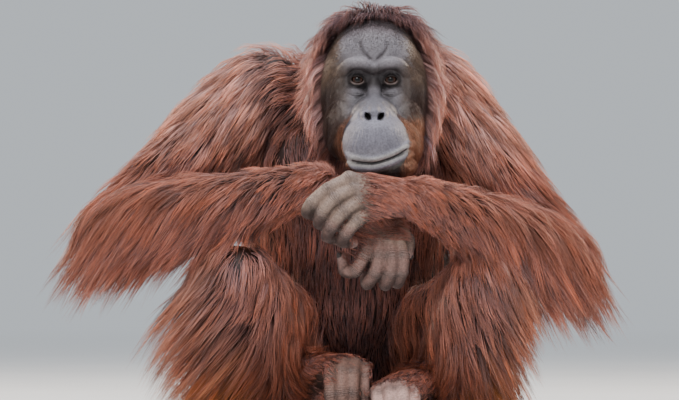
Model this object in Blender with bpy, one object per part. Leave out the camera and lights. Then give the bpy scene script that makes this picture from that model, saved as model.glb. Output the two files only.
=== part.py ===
"""A sitting orangutan, life size: arms folded over the knees, chin on the left wrist.

Metres, +Z up. The animal faces -Y and its left side is at +X. The origin is the middle of the
seat on the floor. Flesh is built from tubes and ellipsoids that are fused and smoothed, parted
into its natural parts, and dressed with flat tapered locks of the long coat.
"""

import math
import random

import bmesh
import bpy
import numpy as np
from mathutils import Matrix, Vector
from mathutils.bvhtree import BVHTree

# Clearances
GAP = 0.0005
LEAST_GAP = 0.00024
LEAST_KEPT = 0.3
EASING_ROUNDS = 14
EASING_REACH = 0.0025
CUTTER_GRAIN = 0.0016
CUTTER_DETAIL = 1.3
JOINT_GAP = 0.0004
TIGHT = 1.2
WIDE_CUT = 1.5
STEEPEST_SHELL = 2.5

# The matted under-coat that covers the flesh where hair is long
UNDERCOAT = 0.008

# Places are read in the picture plane and set on the body in metres
PLANE_SCALE = 0.0014
MIDLINE_COLUMN = 352.0
FLOOR_ROW = 428.0

# Skeleton
EYES = Vector((0.031, -0.245, 0.487))
NECK_BASE = Vector((0.004, -0.055, 0.455))
SKULL_BASE = Vector((0.028, -0.150, 0.455))
SHOULDER = {"right": Vector((-0.146, -0.050, 0.458)), "left": Vector((0.120, -0.055, 0.464))}
ELBOW = {"right": Vector((-0.341, -0.150, 0.277)), "left": Vector((0.298, -0.145, 0.236))}
WRIST = {"right": Vector((-0.046, -0.262, 0.342)), "left": Vector((0.092, -0.312, 0.322))}
HIP = {"right": Vector((-0.085, 0.000, 0.095)), "left": Vector((0.085, 0.000, 0.095))}
KNEE = {"right": Vector((-0.164, -0.222, 0.208)), "left": Vector((0.192, -0.228, 0.196))}
ANKLE = {"right": Vector((-0.082, -0.112, 0.058)), "left": Vector((0.120, -0.135, 0.055))}

# The coated pieces, with the grain and the triangles of each one's surface under its locks
SURFACES = {
    "neck": (0.0040, 120),
    "forearm_right": (0.0040, 240),
    "forearm_left": (0.0040, 240),
    "shank_right": (0.0040, 240),
    "shank_left": (0.0040, 240),
    "thigh_right": (0.0040, 240),
    "thigh_left": (0.0040, 240),
    "upper_arm_right": (0.0040, 280),
    "upper_arm_left": (0.0040, 280),
    "torso": (0.0060, 400),
}

# The coated pieces in the order in which they are dressed, and the locks that would pinch another
LEFT_OUT = {
    "forearm_right": (),
    "forearm_left": (10,),
    "shank_right": (),
    "shank_left": (1, 8, 10),
    "thigh_right": (),
    "thigh_left": (),
    "upper_arm_right": (),
    "upper_arm_left": (),
    "torso": (9, 28),
    "head": (13,),
}

# Each lock is a flat blade with a root, three bends and a tip
SEED = 7
LOCK_PROFILE = (0.42, 0.92, 1.0, 0.66)
LOCK_THICKNESS = 0.0080
PLACES_TRIED = 900
LENGTH_SHARES = (1.0, 0.8, 0.62)
LEAST_COSINE = 0.55
LOCK_CLEARANCE = 0.0012
ROOT_DEPTH = 0.011
FLOOR_CLEARANCE = 0.0015
DOWN = Vector((0.0, 0.0, -1.0))

COLOURS = {
    "coat": ((0.30, 0.115, 0.070, 1.0), 0.75),
    "face": ((0.19, 0.175, 0.190, 1.0), 0.55),
    "hand": ((0.23, 0.185, 0.155, 1.0), 0.65),
    "eye": ((0.035, 0.020, 0.012, 1.0), 0.10),
    "ear": ((0.10, 0.070, 0.055, 1.0), 0.60),
}


def seen(column, row, depth):
    """The point at a column and row of the front view, at a depth along Y."""
    return Vector(
        ((column - MIDLINE_COLUMN) * PLANE_SCALE, depth, (FLOOR_ROW - row) * PLANE_SCALE)
    )


def face(x, y, z):
    """A point given from the middle between the eyes, forward being -Y."""
    return EYES + Vector((x, y, z))


def smoothstep(value):
    """0 below 0, 1 above 1, smooth between."""
    value = min(1.0, max(0.0, value))
    return value * value * (3.0 - 2.0 * value)


# Mesh building


def clear_scene():
    """Removes the objects of the scene the script starts in."""
    for old in list(bpy.data.objects):
        bpy.data.objects.remove(old)


def material(name, finish):
    """A Principled material of a piece's own, in one of the finishes."""
    colour, roughness = COLOURS[finish]
    made = bpy.data.materials.new(name)
    made.use_nodes = True
    shader = made.node_tree.nodes["Principled BSDF"]
    shader.inputs["Base Color"].default_value = colour
    shader.inputs["Roughness"].default_value = roughness
    return made


def object_of(name, mesh):
    """A linked object that shows a mesh."""
    made = bpy.data.objects.new(name, mesh)
    bpy.context.scene.collection.objects.link(made)
    return made


def mesh_of(name, bm):
    """A mesh from a bmesh, which is freed."""
    mesh = bpy.data.meshes.new(name)
    bmesh.ops.recalc_face_normals(bm, faces=bm.faces)
    bm.to_mesh(mesh)
    bm.free()
    return mesh


def apply_modifiers(obj):
    """Puts the evaluated shape of an object into its mesh."""
    bpy.context.view_layer.update()
    graph = bpy.context.evaluated_depsgraph_get()
    old = obj.data
    obj.data = bpy.data.meshes.new_from_object(obj.evaluated_get(graph))
    obj.modifiers.clear()
    bpy.data.meshes.remove(old)


def curve_through(points, count):
    """Points along a smooth Catmull-Rom curve through rows of numbers."""
    rows = np.array([list(p) for p in points], float)
    padded = np.vstack([2 * rows[0] - rows[1], rows, 2 * rows[-1] - rows[-2]])
    found = []
    for at in np.linspace(0.0, len(rows) - 1.0, count):
        i = min(int(at), len(rows) - 2)
        t = at - i
        a, b, c, d = padded[i : i + 4]
        found.append(
            0.5 * (2 * b + (c - a) * t + (2 * a - 5 * b + 4 * c - d) * t**2 + (3 * b - a - 3 * c + d) * t**3)
        )
    return np.array(found)


def tube(bm, path, widths, depths=None, up=(0.0, -1.0, 0.0), rings=14, sides=16):
    """A closed round-ended tube; depths run along up and widths across it."""
    depths = widths if depths is None else depths
    rows = [list(p) + [w, d] for p, w, d in zip(path, widths, depths)]
    line = curve_through(rows, rings)
    centres, reach = line[:, :3], line[:, 3:]
    tangents = np.gradient(centres, axis=0)
    stations = []
    for angle in (70, 35):
        turn = math.radians(angle)
        ahead = tangents[0] / np.linalg.norm(tangents[0])
        back = centres[0] - ahead * reach[0].min() * math.sin(turn)
        stations.append((back, tangents[0], reach[0] * math.cos(turn)))
    stations += list(zip(centres, tangents, reach))
    for angle in (35, 70):
        turn = math.radians(angle)
        ahead = tangents[-1] / np.linalg.norm(tangents[-1])
        front = centres[-1] + ahead * reach[-1].min() * math.sin(turn)
        stations.append((front, tangents[-1], reach[-1] * math.cos(turn)))
    loops = []
    for centre, tangent, (wide, deep) in stations:
        ahead = Vector(tangent).normalized()
        across = ahead.cross(Vector(up)).normalized()
        out = across.cross(ahead).normalized()
        loop = []
        for k in range(sides):
            turn = 2 * math.pi * k / sides
            place = Vector(centre) + across * wide * math.cos(turn) + out * deep * math.sin(turn)
            loop.append(bm.verts.new(place))
        loops.append(loop)
    for near, far in zip(loops, loops[1:]):
        for k in range(sides):
            bm.faces.new((near[k], near[(k + 1) % sides], far[(k + 1) % sides], far[k]))
    bm.faces.new(loops[0][::-1])
    bm.faces.new(loops[-1])


def ellipsoid(bm, centre, radii, tilt=(0.0, 0.0, 0.0), fine=3):
    """A closed ellipsoid, turned by tilt degrees about X, Y and Z."""
    turn = Matrix.Identity(4)
    for degrees, axis in zip(tilt, "XYZ"):
        turn = Matrix.Rotation(math.radians(degrees), 4, axis) @ turn
    place = Matrix.Translation(Vector(centre)) @ turn @ Matrix.Diagonal((*radii, 1.0))
    bmesh.ops.create_icosphere(bm, subdivisions=fine, radius=1.0, matrix=place)


def fused(name, bm, voxel, smoothing, triangles, carve=None):
    """One skin round every form in bm, smoothed, shaped by carve and thinned to about a triangle count."""
    obj = object_of(name, mesh_of(name, bm))
    remesh = obj.modifiers.new("fuse", "REMESH")
    remesh.mode = "VOXEL"
    remesh.voxel_size = voxel
    smooth = obj.modifiers.new("smooth", "SMOOTH")
    smooth.factor = 0.5
    smooth.iterations = smoothing
    apply_modifiers(obj)
    if carve:
        points = np.empty(len(obj.data.vertices) * 3)
        obj.data.vertices.foreach_get("co", points)
        points = points.reshape(-1, 3)
        carve(points)
        obj.data.vertices.foreach_set("co", points.ravel())
        obj.data.update()
    tidy = obj.modifiers.new("triangles", "TRIANGULATE")
    tidy.min_vertices = 4
    thin = obj.modifiers.new("thin", "DECIMATE")
    thin.ratio = min(1.0, triangles / (2.0 * len(obj.data.polygons)))
    apply_modifiers(obj)
    return obj


def keep_largest(obj):
    """Drops every loose scrap that a cut or union left."""
    bm = bmesh.new()
    bm.from_mesh(obj.data)
    left = set(bm.faces)
    islands = []
    while left:
        stack = [left.pop()]
        island = set(stack)
        while stack:
            for edge in stack.pop().edges:
                for near in edge.link_faces:
                    if near in left:
                        left.discard(near)
                        island.add(near)
                        stack.append(near)
        islands.append(island)
    islands.sort(key=lambda island: sum(f.calc_area() for f in island))
    for island in islands[:-1]:
        bmesh.ops.delete(bm, geom=list(island), context="FACES")
    loose = [v for v in bm.verts if not v.link_faces]
    bmesh.ops.delete(bm, geom=loose, context="VERTS")
    bm.to_mesh(obj.data)
    bm.free()


def boolean(obj, other, operation, solvers=("EXACT", "MANIFOLD"), least=0.0):
    """Applies one Boolean, by the first solver that closes the piece and keeps at least a share of it."""
    whole = obj.data.copy()
    for solver in solvers:
        modifier = obj.modifiers.new(operation.lower(), "BOOLEAN")
        modifier.operation = operation
        modifier.solver = solver
        if isinstance(other, bpy.types.Collection):
            modifier.operand_type = "COLLECTION"
            modifier.collection = other
        else:
            modifier.object = other
        apply_modifiers(obj)
        if is_closed(obj.data) and volume_of(obj.data) > least * volume_of(whole):
            break
        obj.data = whole.copy()
    bpy.data.meshes.remove(whole)


def settle(obj):
    """Puts the points and faces of a mesh in an order that only their places decide."""
    mesh = obj.data
    points = [tuple(v.co) for v in mesh.vertices]
    order = sorted(range(len(points)), key=points.__getitem__)
    rank = {old: new for new, old in enumerate(order)}
    faces = []
    for polygon in mesh.polygons:
        loop = [rank[i] for i in polygon.vertices]
        start = loop.index(min(loop))
        faces.append(loop[start:] + loop[:start])
    obj.data = bpy.data.meshes.new(obj.name)
    obj.data.from_pydata([points[i] for i in order], [], sorted(faces))
    bpy.data.meshes.remove(mesh)


def volume_of(mesh):
    """The volume that a mesh encloses."""
    bm = bmesh.new()
    bm.from_mesh(mesh)
    volume = bm.calc_volume(signed=True)
    bm.free()
    return volume


def is_closed(mesh):
    """True if a mesh has faces and every edge joins two of them."""
    bm = bmesh.new()
    bm.from_mesh(mesh)
    closed = bool(bm.faces) and all(len(edge.link_faces) == 2 for edge in bm.edges)
    bm.free()
    return closed


def swollen(obj, by):
    """A copy whose faces all stand out by a distance."""
    bm = bmesh.new()
    bm.from_mesh(obj.data)
    bm.normal_update()
    moves = [(v, v.normal * by * min(STEEPEST_SHELL, v.calc_shell_factor())) for v in bm.verts]
    for v, move in moves:
        v.co += move
    return object_of(obj.name + "_cutter", mesh_of(obj.name + "_cutter", bm))


def boxes_meet(a, b, margin=0.002):
    """True if the bounding boxes of two objects at the origin come within a margin."""
    first, second = (np.array([v.co for v in o.data.vertices]) for o in (a, b))
    return bool(
        (first.min(0) - margin < second.max(0)).all() and (second.min(0) - margin < first.max(0)).all()
    )


def tree_of(obj):
    """A search tree of an object's faces."""
    bm = bmesh.new()
    bm.from_mesh(obj.data)
    found = BVHTree.FromBMesh(bm)
    bm.free()
    return found


def stands_clear(obj, other):
    """True if two pieces neither cross nor come closer than the least gap."""
    first, second = tree_of(obj), tree_of(other)
    if first.overlap(second):
        return False
    for piece, tree in ((obj, second), (other, first)):
        for vertex in piece.data.vertices:
            if tree.find_nearest(vertex.co, LEAST_GAP)[0] is not None:
                return False
    return True


def rounded_copy(obj, by):
    """A swollen copy without folds or sharp creases, for where the plain one crosses itself."""
    copy = swollen(obj, by)
    remesh = copy.modifiers.new("remesh", "REMESH")
    remesh.mode = "VOXEL"
    remesh.voxel_size = CUTTER_GRAIN
    apply_modifiers(copy)
    thin = copy.modifiers.new("thin", "DECIMATE")
    thin.ratio = min(1.0, CUTTER_DETAIL * triangles_of(obj) / triangles_of(copy))
    apply_modifiers(copy)
    return copy


def intrusion(tree, point):
    """How far a point must move along a near face's normal to keep the usual gap, and that face."""
    near, normal, index, away = tree.find_nearest(point, EASING_REACH)
    if near is None:
        return 0.0, None, None
    inside = (point - near).dot(normal) < -0.1 * away
    height = -away if inside else away
    if height < LEAST_GAP * TIGHT:
        return GAP - height, normal, index
    return 0.0, None, None


def eased(obj, other):
    """Moves the points of a piece that come too near another one; True once the two stand clear."""
    against = tree_of(other)
    for _ in range(EASING_ROUNDS):
        for vertex in obj.data.vertices:
            far, normal, _ = intrusion(against, vertex.co)
            if far:
                vertex.co += normal * far
        own = tree_of(obj)
        triangles = [tuple(polygon.vertices) for polygon in obj.data.polygons]
        for vertex in other.data.vertices:
            far, normal, index = intrusion(own, vertex.co)
            if far:
                for corner in triangles[index]:
                    obj.data.vertices[corner].co -= normal * far * 0.5
        obj.data.update()
        if stands_clear(obj, other):
            return True
    return False


def resurfaced(obj, voxel, triangles):
    """Gives a fused piece one even surface, without slivers, of about a triangle count."""
    remesh = obj.modifiers.new("even", "REMESH")
    remesh.mode = "VOXEL"
    remesh.voxel_size = voxel
    apply_modifiers(obj)
    keep_largest(obj)
    thin = obj.modifiers.new("thin", "DECIMATE")
    thin.ratio = min(1.0, triangles / triangles_of(obj))
    apply_modifiers(obj)


def cut_by(obj, other, copy_of, by):
    """Takes the room of another piece, and a gap round it, out of a piece."""
    cutter = copy_of(other, by)
    boolean(obj, cutter, "DIFFERENCE", least=LEAST_KEPT)
    bpy.data.objects.remove(cutter)


def cut_clear(obj, others):
    """Cuts a piece back so that it meets each of the others face to face, a small gap away."""
    for other in others:
        if not boxes_meet(obj, other):
            continue
        cut_by(obj, other, swollen, GAP)
        if not stands_clear(obj, other):
            cut_by(obj, other, rounded_copy, GAP * WIDE_CUT)
        if not stands_clear(obj, other):
            cut_by(other, obj, rounded_copy, GAP * WIDE_CUT)
            keep_largest(other)
    keep_largest(obj)


def half(obj, name, point, normal):
    """A new object with the part of obj on the side of a plane that normal points to."""
    made = object_of(name, obj.data.copy())
    bm = bmesh.new()
    size = 2.0
    turn = Vector(normal).to_track_quat("Z", "Y").to_matrix().to_4x4()
    away = Vector(normal).normalized() * (JOINT_GAP / 2 - size / 2)
    bmesh.ops.create_cube(bm, size=size, matrix=Matrix.Translation(Vector(point) + away) @ turn)
    cutter = object_of(name + "_cutter", mesh_of(name + "_cutter", bm))
    boolean(made, cutter, "DIFFERENCE")
    bpy.data.objects.remove(cutter)
    keep_largest(made)
    return made


def parted(obj, first, second, point, towards_first):
    """Parts a limb in two at a plane, with a thin cut between, and removes the whole one."""
    normal = Vector(towards_first).normalized()
    pieces = half(obj, first, point, normal), half(obj, second, point, -normal)
    bpy.data.objects.remove(obj)
    return pieces


def set_on_floor(obj):
    """Cuts off what would lie under the floor, which leaves a small flat at the floor's level."""
    bm = bmesh.new()
    bmesh.ops.create_cube(bm, size=2.0, matrix=Matrix.Translation((0.0, 0.0, -1.0)))
    cutter = object_of("floor_cutter", mesh_of("floor_cutter", bm))
    boolean(obj, cutter, "DIFFERENCE")
    bpy.data.objects.remove(cutter)
    keep_largest(obj)


# Sculpting strokes on an array of points


def push(points, centre, reach, move):
    """Moves the points within an ellipsoid, most at its middle."""
    away = np.linalg.norm((points - np.array(centre)) / np.array(reach), axis=1)
    fade = np.clip(1.0 - away, 0.0, 1.0)
    fade = fade * fade * (3.0 - 2.0 * fade)
    points += fade[:, None] * np.array(move)


def stroke(points, path, width, move, deepest):
    """Moves the points near a line drawn on the front of the face, seen from the front."""
    line = curve_through(path, 24)[:, [0, 2]]
    flat = points[:, [0, 2]]
    away = np.full(len(points), 1e9)
    for a, b in zip(line, line[1:]):
        run = b - a
        t = np.clip(((flat - a) @ run) / (run @ run), 0.0, 1.0)
        away = np.minimum(away, np.linalg.norm(flat - (a + t[:, None] * run), axis=1))
    fade = np.exp(-((away / width) ** 2)) * (points[:, 1] < deepest)
    points += fade[:, None] * np.array(move)


# Torso, neck and head

SPINE = [
    # x, y, z, half width, half depth
    (0.000, 0.040, 0.062, 0.112, 0.092),
    (0.000, 0.042, 0.120, 0.134, 0.116),
    (0.000, 0.034, 0.210, 0.140, 0.132),
    (0.000, 0.018, 0.310, 0.140, 0.126),
    (0.000, -0.008, 0.400, 0.142, 0.108),
    (0.003, -0.032, 0.455, 0.100, 0.080),
]


def build_torso():
    """Trunk with rounded back, shoulder girdle and buttocks."""
    bm = bmesh.new()
    coat = UNDERCOAT
    tube(
        bm,
        [row[:3] for row in SPINE],
        [row[3] + coat for row in SPINE],
        [row[4] + coat for row in SPINE],
        rings=22,
        sides=24,
    )
    ellipsoid(bm, (0.0, 0.022, 0.425), (0.130 + coat, 0.076 + coat, 0.080 + coat))
    for side in (-1, 1):
        ellipsoid(bm, (0.112 * side, -0.034, 0.452), (0.058 + coat, 0.058 + coat, 0.055 + coat))
        ellipsoid(bm, (0.060 * side, -0.088, 0.372), (0.060 + coat, 0.034 + coat, 0.052 + coat))
        ellipsoid(bm, (0.066 * side, 0.048, 0.060), (0.074 + coat, 0.080 + coat, 0.056 + coat))
    ellipsoid(bm, (0.0, -0.030, 0.190), (0.100 + coat, 0.088 + coat, 0.100 + coat))
    torso = fused("torso", bm, 0.007, 12, 380)
    set_on_floor(torso)
    return torso


def build_neck():
    """Short thick neck with the throat sac under the jaw."""
    bm = bmesh.new()
    coat = UNDERCOAT
    tube(bm, [NECK_BASE, (0.016, -0.105, 0.462), SKULL_BASE], [0.074, 0.066, 0.058])
    ellipsoid(bm, (0.018, -0.120, 0.405), (0.052 + coat, 0.050 + coat, 0.050))
    ellipsoid(bm, (0.010, -0.060, 0.475), (0.072 + coat, 0.060 + coat, 0.055))
    return fused("neck", bm, 0.006, 8, 84)


MOUTH = [
    (-0.0310, 0, -0.1130), (-0.0150, 0, -0.1158), (0.0000, 0, -0.1160),
    (0.0180, 0, -0.1110), (0.0320, 0, -0.1050), (0.0450, 0, -0.0970),
]
EYE_SPACING = 0.0236
EYE_DEPTH = 0.0125
EYE_RADIUS = 0.0108


def skin_of_muzzle(x, z):
    """How far forward the muzzle reaches at a place of the face."""
    left = 1.0 - ((x - 0.005) / 0.0555) ** 2 - ((z + 0.088) / 0.042) ** 2
    return -0.026 - 0.050 * math.sqrt(max(left, 0.0))


def mouth_line(lift=0.0):
    """The line where the lips meet, raised by lift."""
    return [face(x, y, z + lift) for x, y, z in MOUTH]


def head_forms(bm, coat):
    """Skull, cheeks, muzzle, nose, jaw and lids as overlapping forms."""
    ellipsoid(bm, face(0, 0.078, 0.022), (0.067, 0.076, 0.069))
    ellipsoid(bm, face(0, 0.038, 0.030), (0.060, 0.042, 0.048))
    ellipsoid(bm, face(0, 0.092, 0.024), (0.068 + coat, 0.070 + coat, 0.068 + coat))
    for side in (-1, 1):
        ellipsoid(bm, face(0.046 * side, 0.050, -0.022), (0.0275, 0.044, 0.074), tilt=(4, 0, 0))
        ellipsoid(bm, face(0.042 * side, 0.034, -0.062), (0.0270, 0.040, 0.044))
        ellipsoid(bm, face(0.028 * side, 0.016, -0.034), (0.0240, 0.0235, 0.0250))
        brow = [(0.048, 0.014, 0.008), (0.036, 0.001, 0.021), (0.018, -0.004, 0.023), (0.002, -0.001, 0.016)]
        tube(bm, [face(x * side, y, z) for x, y, z in brow], [0.0075, 0.0088, 0.0085, 0.0078])
        ellipsoid(bm, face(EYE_SPACING * side, EYE_DEPTH, 0), (0.0150, 0.0128, 0.0128))
        bag = [(0.037, 0.008, -0.012), (0.023, -0.001, -0.017), (0.010, 0.000, -0.016)]
        tube(bm, [face(x * side, y, z) for x, y, z in bag], [0.0065, 0.0074, 0.0060])
        ellipsoid(bm, face(0.0108 * side, -0.0440, -0.0495), (0.0082, 0.0090, 0.0068))
    tube(
        bm,
        [face(0, 0.012, 0.006), face(0, 0.002, -0.018), face(0, -0.022, -0.036), face(0, -0.0475, -0.0470)],
        [0.0080, 0.0098, 0.0115, 0.0085],
    )
    ellipsoid(bm, face(0.000, -0.004, -0.058), (0.044, 0.046, 0.036))
    ellipsoid(bm, face(0.005, -0.026, -0.088), (0.0555, 0.050, 0.042))
    upper = [(x, skin_of_muzzle(x, z + 0.006) + 0.0045, z + 0.006) for x, _, z in MOUTH]
    tube(bm, [face(*p) for p in upper], [0.0062, 0.0076, 0.0080, 0.0078, 0.0074, 0.0060])
    lower = [(x * 0.96 + 0.001, skin_of_muzzle(x, z) + 0.0075, z - 0.0075) for x, _, z in MOUTH]
    tube(bm, [face(*p) for p in lower], [0.0062, 0.0084, 0.0090, 0.0088, 0.0080, 0.0062])
    ellipsoid(bm, face(0.017, -0.026, -0.119), (0.039, 0.0385, 0.0215))
    ellipsoid(bm, face(0.010, 0.020, -0.098), (0.050, 0.056, 0.037))
    ellipsoid(bm, face(0.032, 0.008, -0.104), (0.034, 0.044, 0.031))


def carve_face(points):
    """Eye hollows, bridge, lips and the line of the mouth."""
    for side in (-1, 1):
        push(points, face(0.0105 * side, -0.002, 0.002), (0.010, 0.012, 0.012), (0, 0.0045, 0))
        push(points, face(0.039 * side, 0.002, -0.004), (0.010, 0.016, 0.014), (0, 0.0040, 0))
    stroke(points, mouth_line(-0.0005), 0.0024, (0, 0.0065, 0), EYES.y - 0.024)


def build_head(eyes):
    """Head with open lids round the eyes, nostrils and a mouth line."""
    bm = bmesh.new()
    head_forms(bm, UNDERCOAT)
    head = fused("head", bm, 0.0026, 6, 1260, carve_face)
    cutters = bpy.data.collections.new("face_cutters")
    for side in (-1, 1):
        bm = bmesh.new()
        opening = face(EYE_SPACING * side, EYE_DEPTH - 0.012, 0.0)
        ellipsoid(bm, opening, (0.0098, 0.0120, 0.0050), tilt=(0, -7 * side, 0), fine=2)
        window = bpy.data.objects.new("eye_window", mesh_of("eye_window", bm))
        bm = bmesh.new()
        nostril = face(0.0090 * side, -0.0520, -0.0515)
        ellipsoid(bm, nostril, (0.0032, 0.0110, 0.0056), tilt=(25, 40 * side, 0), fine=2)
        nostril = bpy.data.objects.new("nostril", mesh_of("nostril", bm))
        for cutter in (window, nostril):
            cutters.objects.link(cutter)
    boolean(head, cutters, "DIFFERENCE")
    for cutter in list(cutters.objects):
        bpy.data.objects.remove(cutter)
    cut_clear(head, eyes)
    return head


def build_eye(side, name):
    """One eyeball."""
    bm = bmesh.new()
    bmesh.ops.create_uvsphere(
        bm,
        u_segments=12,
        v_segments=7,
        radius=EYE_RADIUS,
        matrix=Matrix.Translation(face(EYE_SPACING * side, EYE_DEPTH, 0)),
    )
    return object_of(name, mesh_of(name, bm))


def build_ear(side, name):
    """A small round ear with its cup."""
    bm = bmesh.new()
    ellipsoid(bm, face(0.0800 * side, 0.082, -0.006), (0.0060, 0.0150, 0.0195), tilt=(8, 0, -14 * side))
    ear = fused(name, bm, 0.0016, 3, 80)
    bm = bmesh.new()
    cup = face(0.0860 * side, 0.0790, -0.005)
    ellipsoid(bm, cup, (0.0060, 0.0098, 0.0140), tilt=(8, 0, -14 * side), fine=2)
    cup = object_of("ear_cup", mesh_of("ear_cup", bm))
    boolean(ear, cup, "DIFFERENCE")
    bpy.data.objects.remove(cup)
    return ear


# Arms and hands

DIGITS = ("index", "middle", "ring", "little")
KNUCKLES = {
    "left": {
        "index": (349, 180, -0.334),
        "middle": (352, 191, -0.339),
        "ring": (358, 203, -0.339),
        "little": (369, 212, -0.334),
    },
    "right": {
        "little": (370, 238, -0.294),
        "ring": (379, 241, -0.299),
        "middle": (389, 241, -0.299),
        "index": (397, 239, -0.294),
    },
}
FINGERS = {
    "left": {
        "index": [
            (349, 180, -0.334), (328, 190, -0.343), (313, 203, -0.342),
            (308, 212, -0.328), (318, 217, -0.312),
        ],
        "middle": [
            (352, 191, -0.339), (336, 199, -0.349), (323, 213, -0.346),
            (320, 223, -0.330), (330, 228, -0.313),
        ],
        "ring": [
            (358, 203, -0.339), (344, 212, -0.350), (332, 226, -0.347),
            (328, 236, -0.331), (338, 240, -0.314),
        ],
        "little": [
            (369, 212, -0.334), (357, 221, -0.344), (346, 233, -0.342),
            (343, 241, -0.327), (353, 243, -0.312),
        ],
        "thumb": [(404, 194, -0.296), (389, 189, -0.289), (373, 187, -0.289)],
    },
    "right": {
        "little": [
            (370, 238, -0.294), (364, 256, -0.309), (355, 270, -0.309),
            (345, 270, -0.302), (342, 257, -0.298),
        ],
        "ring": [
            (379, 241, -0.299), (379, 256, -0.313), (375, 272, -0.312),
            (367, 283, -0.299), (365, 276, -0.284),
        ],
        "middle": [
            (389, 241, -0.299), (391, 256, -0.314), (390, 272, -0.313),
            (385, 284, -0.300), (384, 277, -0.284),
        ],
        "index": [
            (397, 239, -0.294), (402, 256, -0.308), (401, 271, -0.307),
            (397, 282, -0.294), (398, 275, -0.279),
        ],
        "thumb": [(396, 226, -0.268), (408, 240, -0.262), (408, 254, -0.262)],
    },
}
FINGER_RADII = [0.0108, 0.0099, 0.0098, 0.0090, 0.0074]


def build_arm(side):
    """Upper arm, forearm and palm, fused, then parted at the elbow and the wrist."""
    shoulder, elbow, wrist = SHOULDER[side], ELBOW[side], WRIST[side]
    bm = bmesh.new()
    coat = UNDERCOAT
    inner = shoulder + (shoulder - elbow) * 0.12
    tube(
        bm,
        [inner, shoulder, shoulder.lerp(elbow, 0.35), shoulder.lerp(elbow, 0.7), elbow],
        [0.052 + coat, 0.056 + coat, 0.051 + coat, 0.043 + coat, 0.040 + coat],
    )
    tube(
        bm,
        [elbow, elbow.lerp(wrist, 0.3), elbow.lerp(wrist, 0.65), elbow.lerp(wrist, 0.92), wrist],
        [0.041 + coat, 0.043 + coat, 0.034 + coat * 0.8, 0.026 + coat * 0.4, 0.0245],
        up=(0, -1, 0.4),
    )
    for finger in DIGITS:
        knuckle = seen(*KNUCKLES[side][finger])
        start = wrist.lerp(knuckle, 0.06)
        tube(bm, [start, start.lerp(knuckle, 0.5), knuckle], [0.0185, 0.0150, 0.0118], rings=8)
    thumb_root = seen(*FINGERS[side]["thumb"][0])
    tube(bm, [wrist, wrist.lerp(thumb_root, 0.6), thumb_root], [0.018, 0.014, 0.0115], rings=6)
    arm = fused("arm_" + side, bm, 0.0042, 8, 520)
    towards_shoulder = (shoulder - elbow).normalized()
    towards_wrist = (wrist - elbow).normalized()
    upper, rest = parted(arm, "upper_arm_" + side, "rest_" + side, elbow, towards_shoulder - towards_wrist)
    forearm, palm = parted(rest, "forearm_" + side, "palm_" + side, wrist, -towards_wrist)
    return upper, forearm, palm


def build_digit(side, finger, paths, radii, name, triangles):
    """One finger or toe as a bent round-tipped tube."""
    line = [seen(*p) for p in paths[finger]]
    sizes = radii[-len(line) :] if finger in ("thumb", "hallux") else radii
    bm = bmesh.new()
    tube(bm, line, sizes, rings=13, sides=10)
    return fused(name, bm, 0.0022, 2, triangles)


# Legs and feet

TOES = {
    "right": {
        "toe_1": [
            (334, 369, -0.226), (331, 376, -0.247), (331, 394, -0.255),
            (333, 410, -0.246), (336, 417, -0.228),
        ],
        "toe_2": [
            (344, 366, -0.232), (342, 373, -0.255), (342, 392, -0.263),
            (344, 410, -0.255), (347, 418, -0.236),
        ],
        "toe_3": [
            (354, 366, -0.230), (353, 374, -0.253), (353, 393, -0.260),
            (354, 410, -0.252), (355, 417, -0.233),
        ],
        "toe_4": [
            (363, 371, -0.224), (363, 379, -0.243), (363, 396, -0.248),
            (363, 411, -0.240), (362, 417, -0.223),
        ],
        "hallux": [(327, 398, -0.180), (322, 409, -0.204), (321, 417, -0.224)],
    },
    "left": {
        "toe_1": [
            (411, 391, -0.262), (413, 395, -0.284), (413, 407, -0.296),
            (410, 417, -0.286), (407, 420, -0.268),
        ],
        "toe_2": [
            (400, 388, -0.268), (402, 391, -0.292), (402, 405, -0.304),
            (400, 416, -0.295), (398, 420, -0.277),
        ],
        "toe_3": [
            (389, 389, -0.268), (390, 392, -0.292), (390, 406, -0.305),
            (389, 416, -0.297), (389, 420, -0.279),
        ],
        "toe_4": [
            (378, 393, -0.262), (378, 396, -0.284), (378, 408, -0.298),
            (379, 417, -0.291), (380, 420, -0.274),
        ],
        "hallux": [(420, 405, -0.212), (425, 412, -0.238), (426, 418, -0.258)],
    },
}
TOE_RADII = [0.0110, 0.0104, 0.0098, 0.0090, 0.0076]


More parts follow.
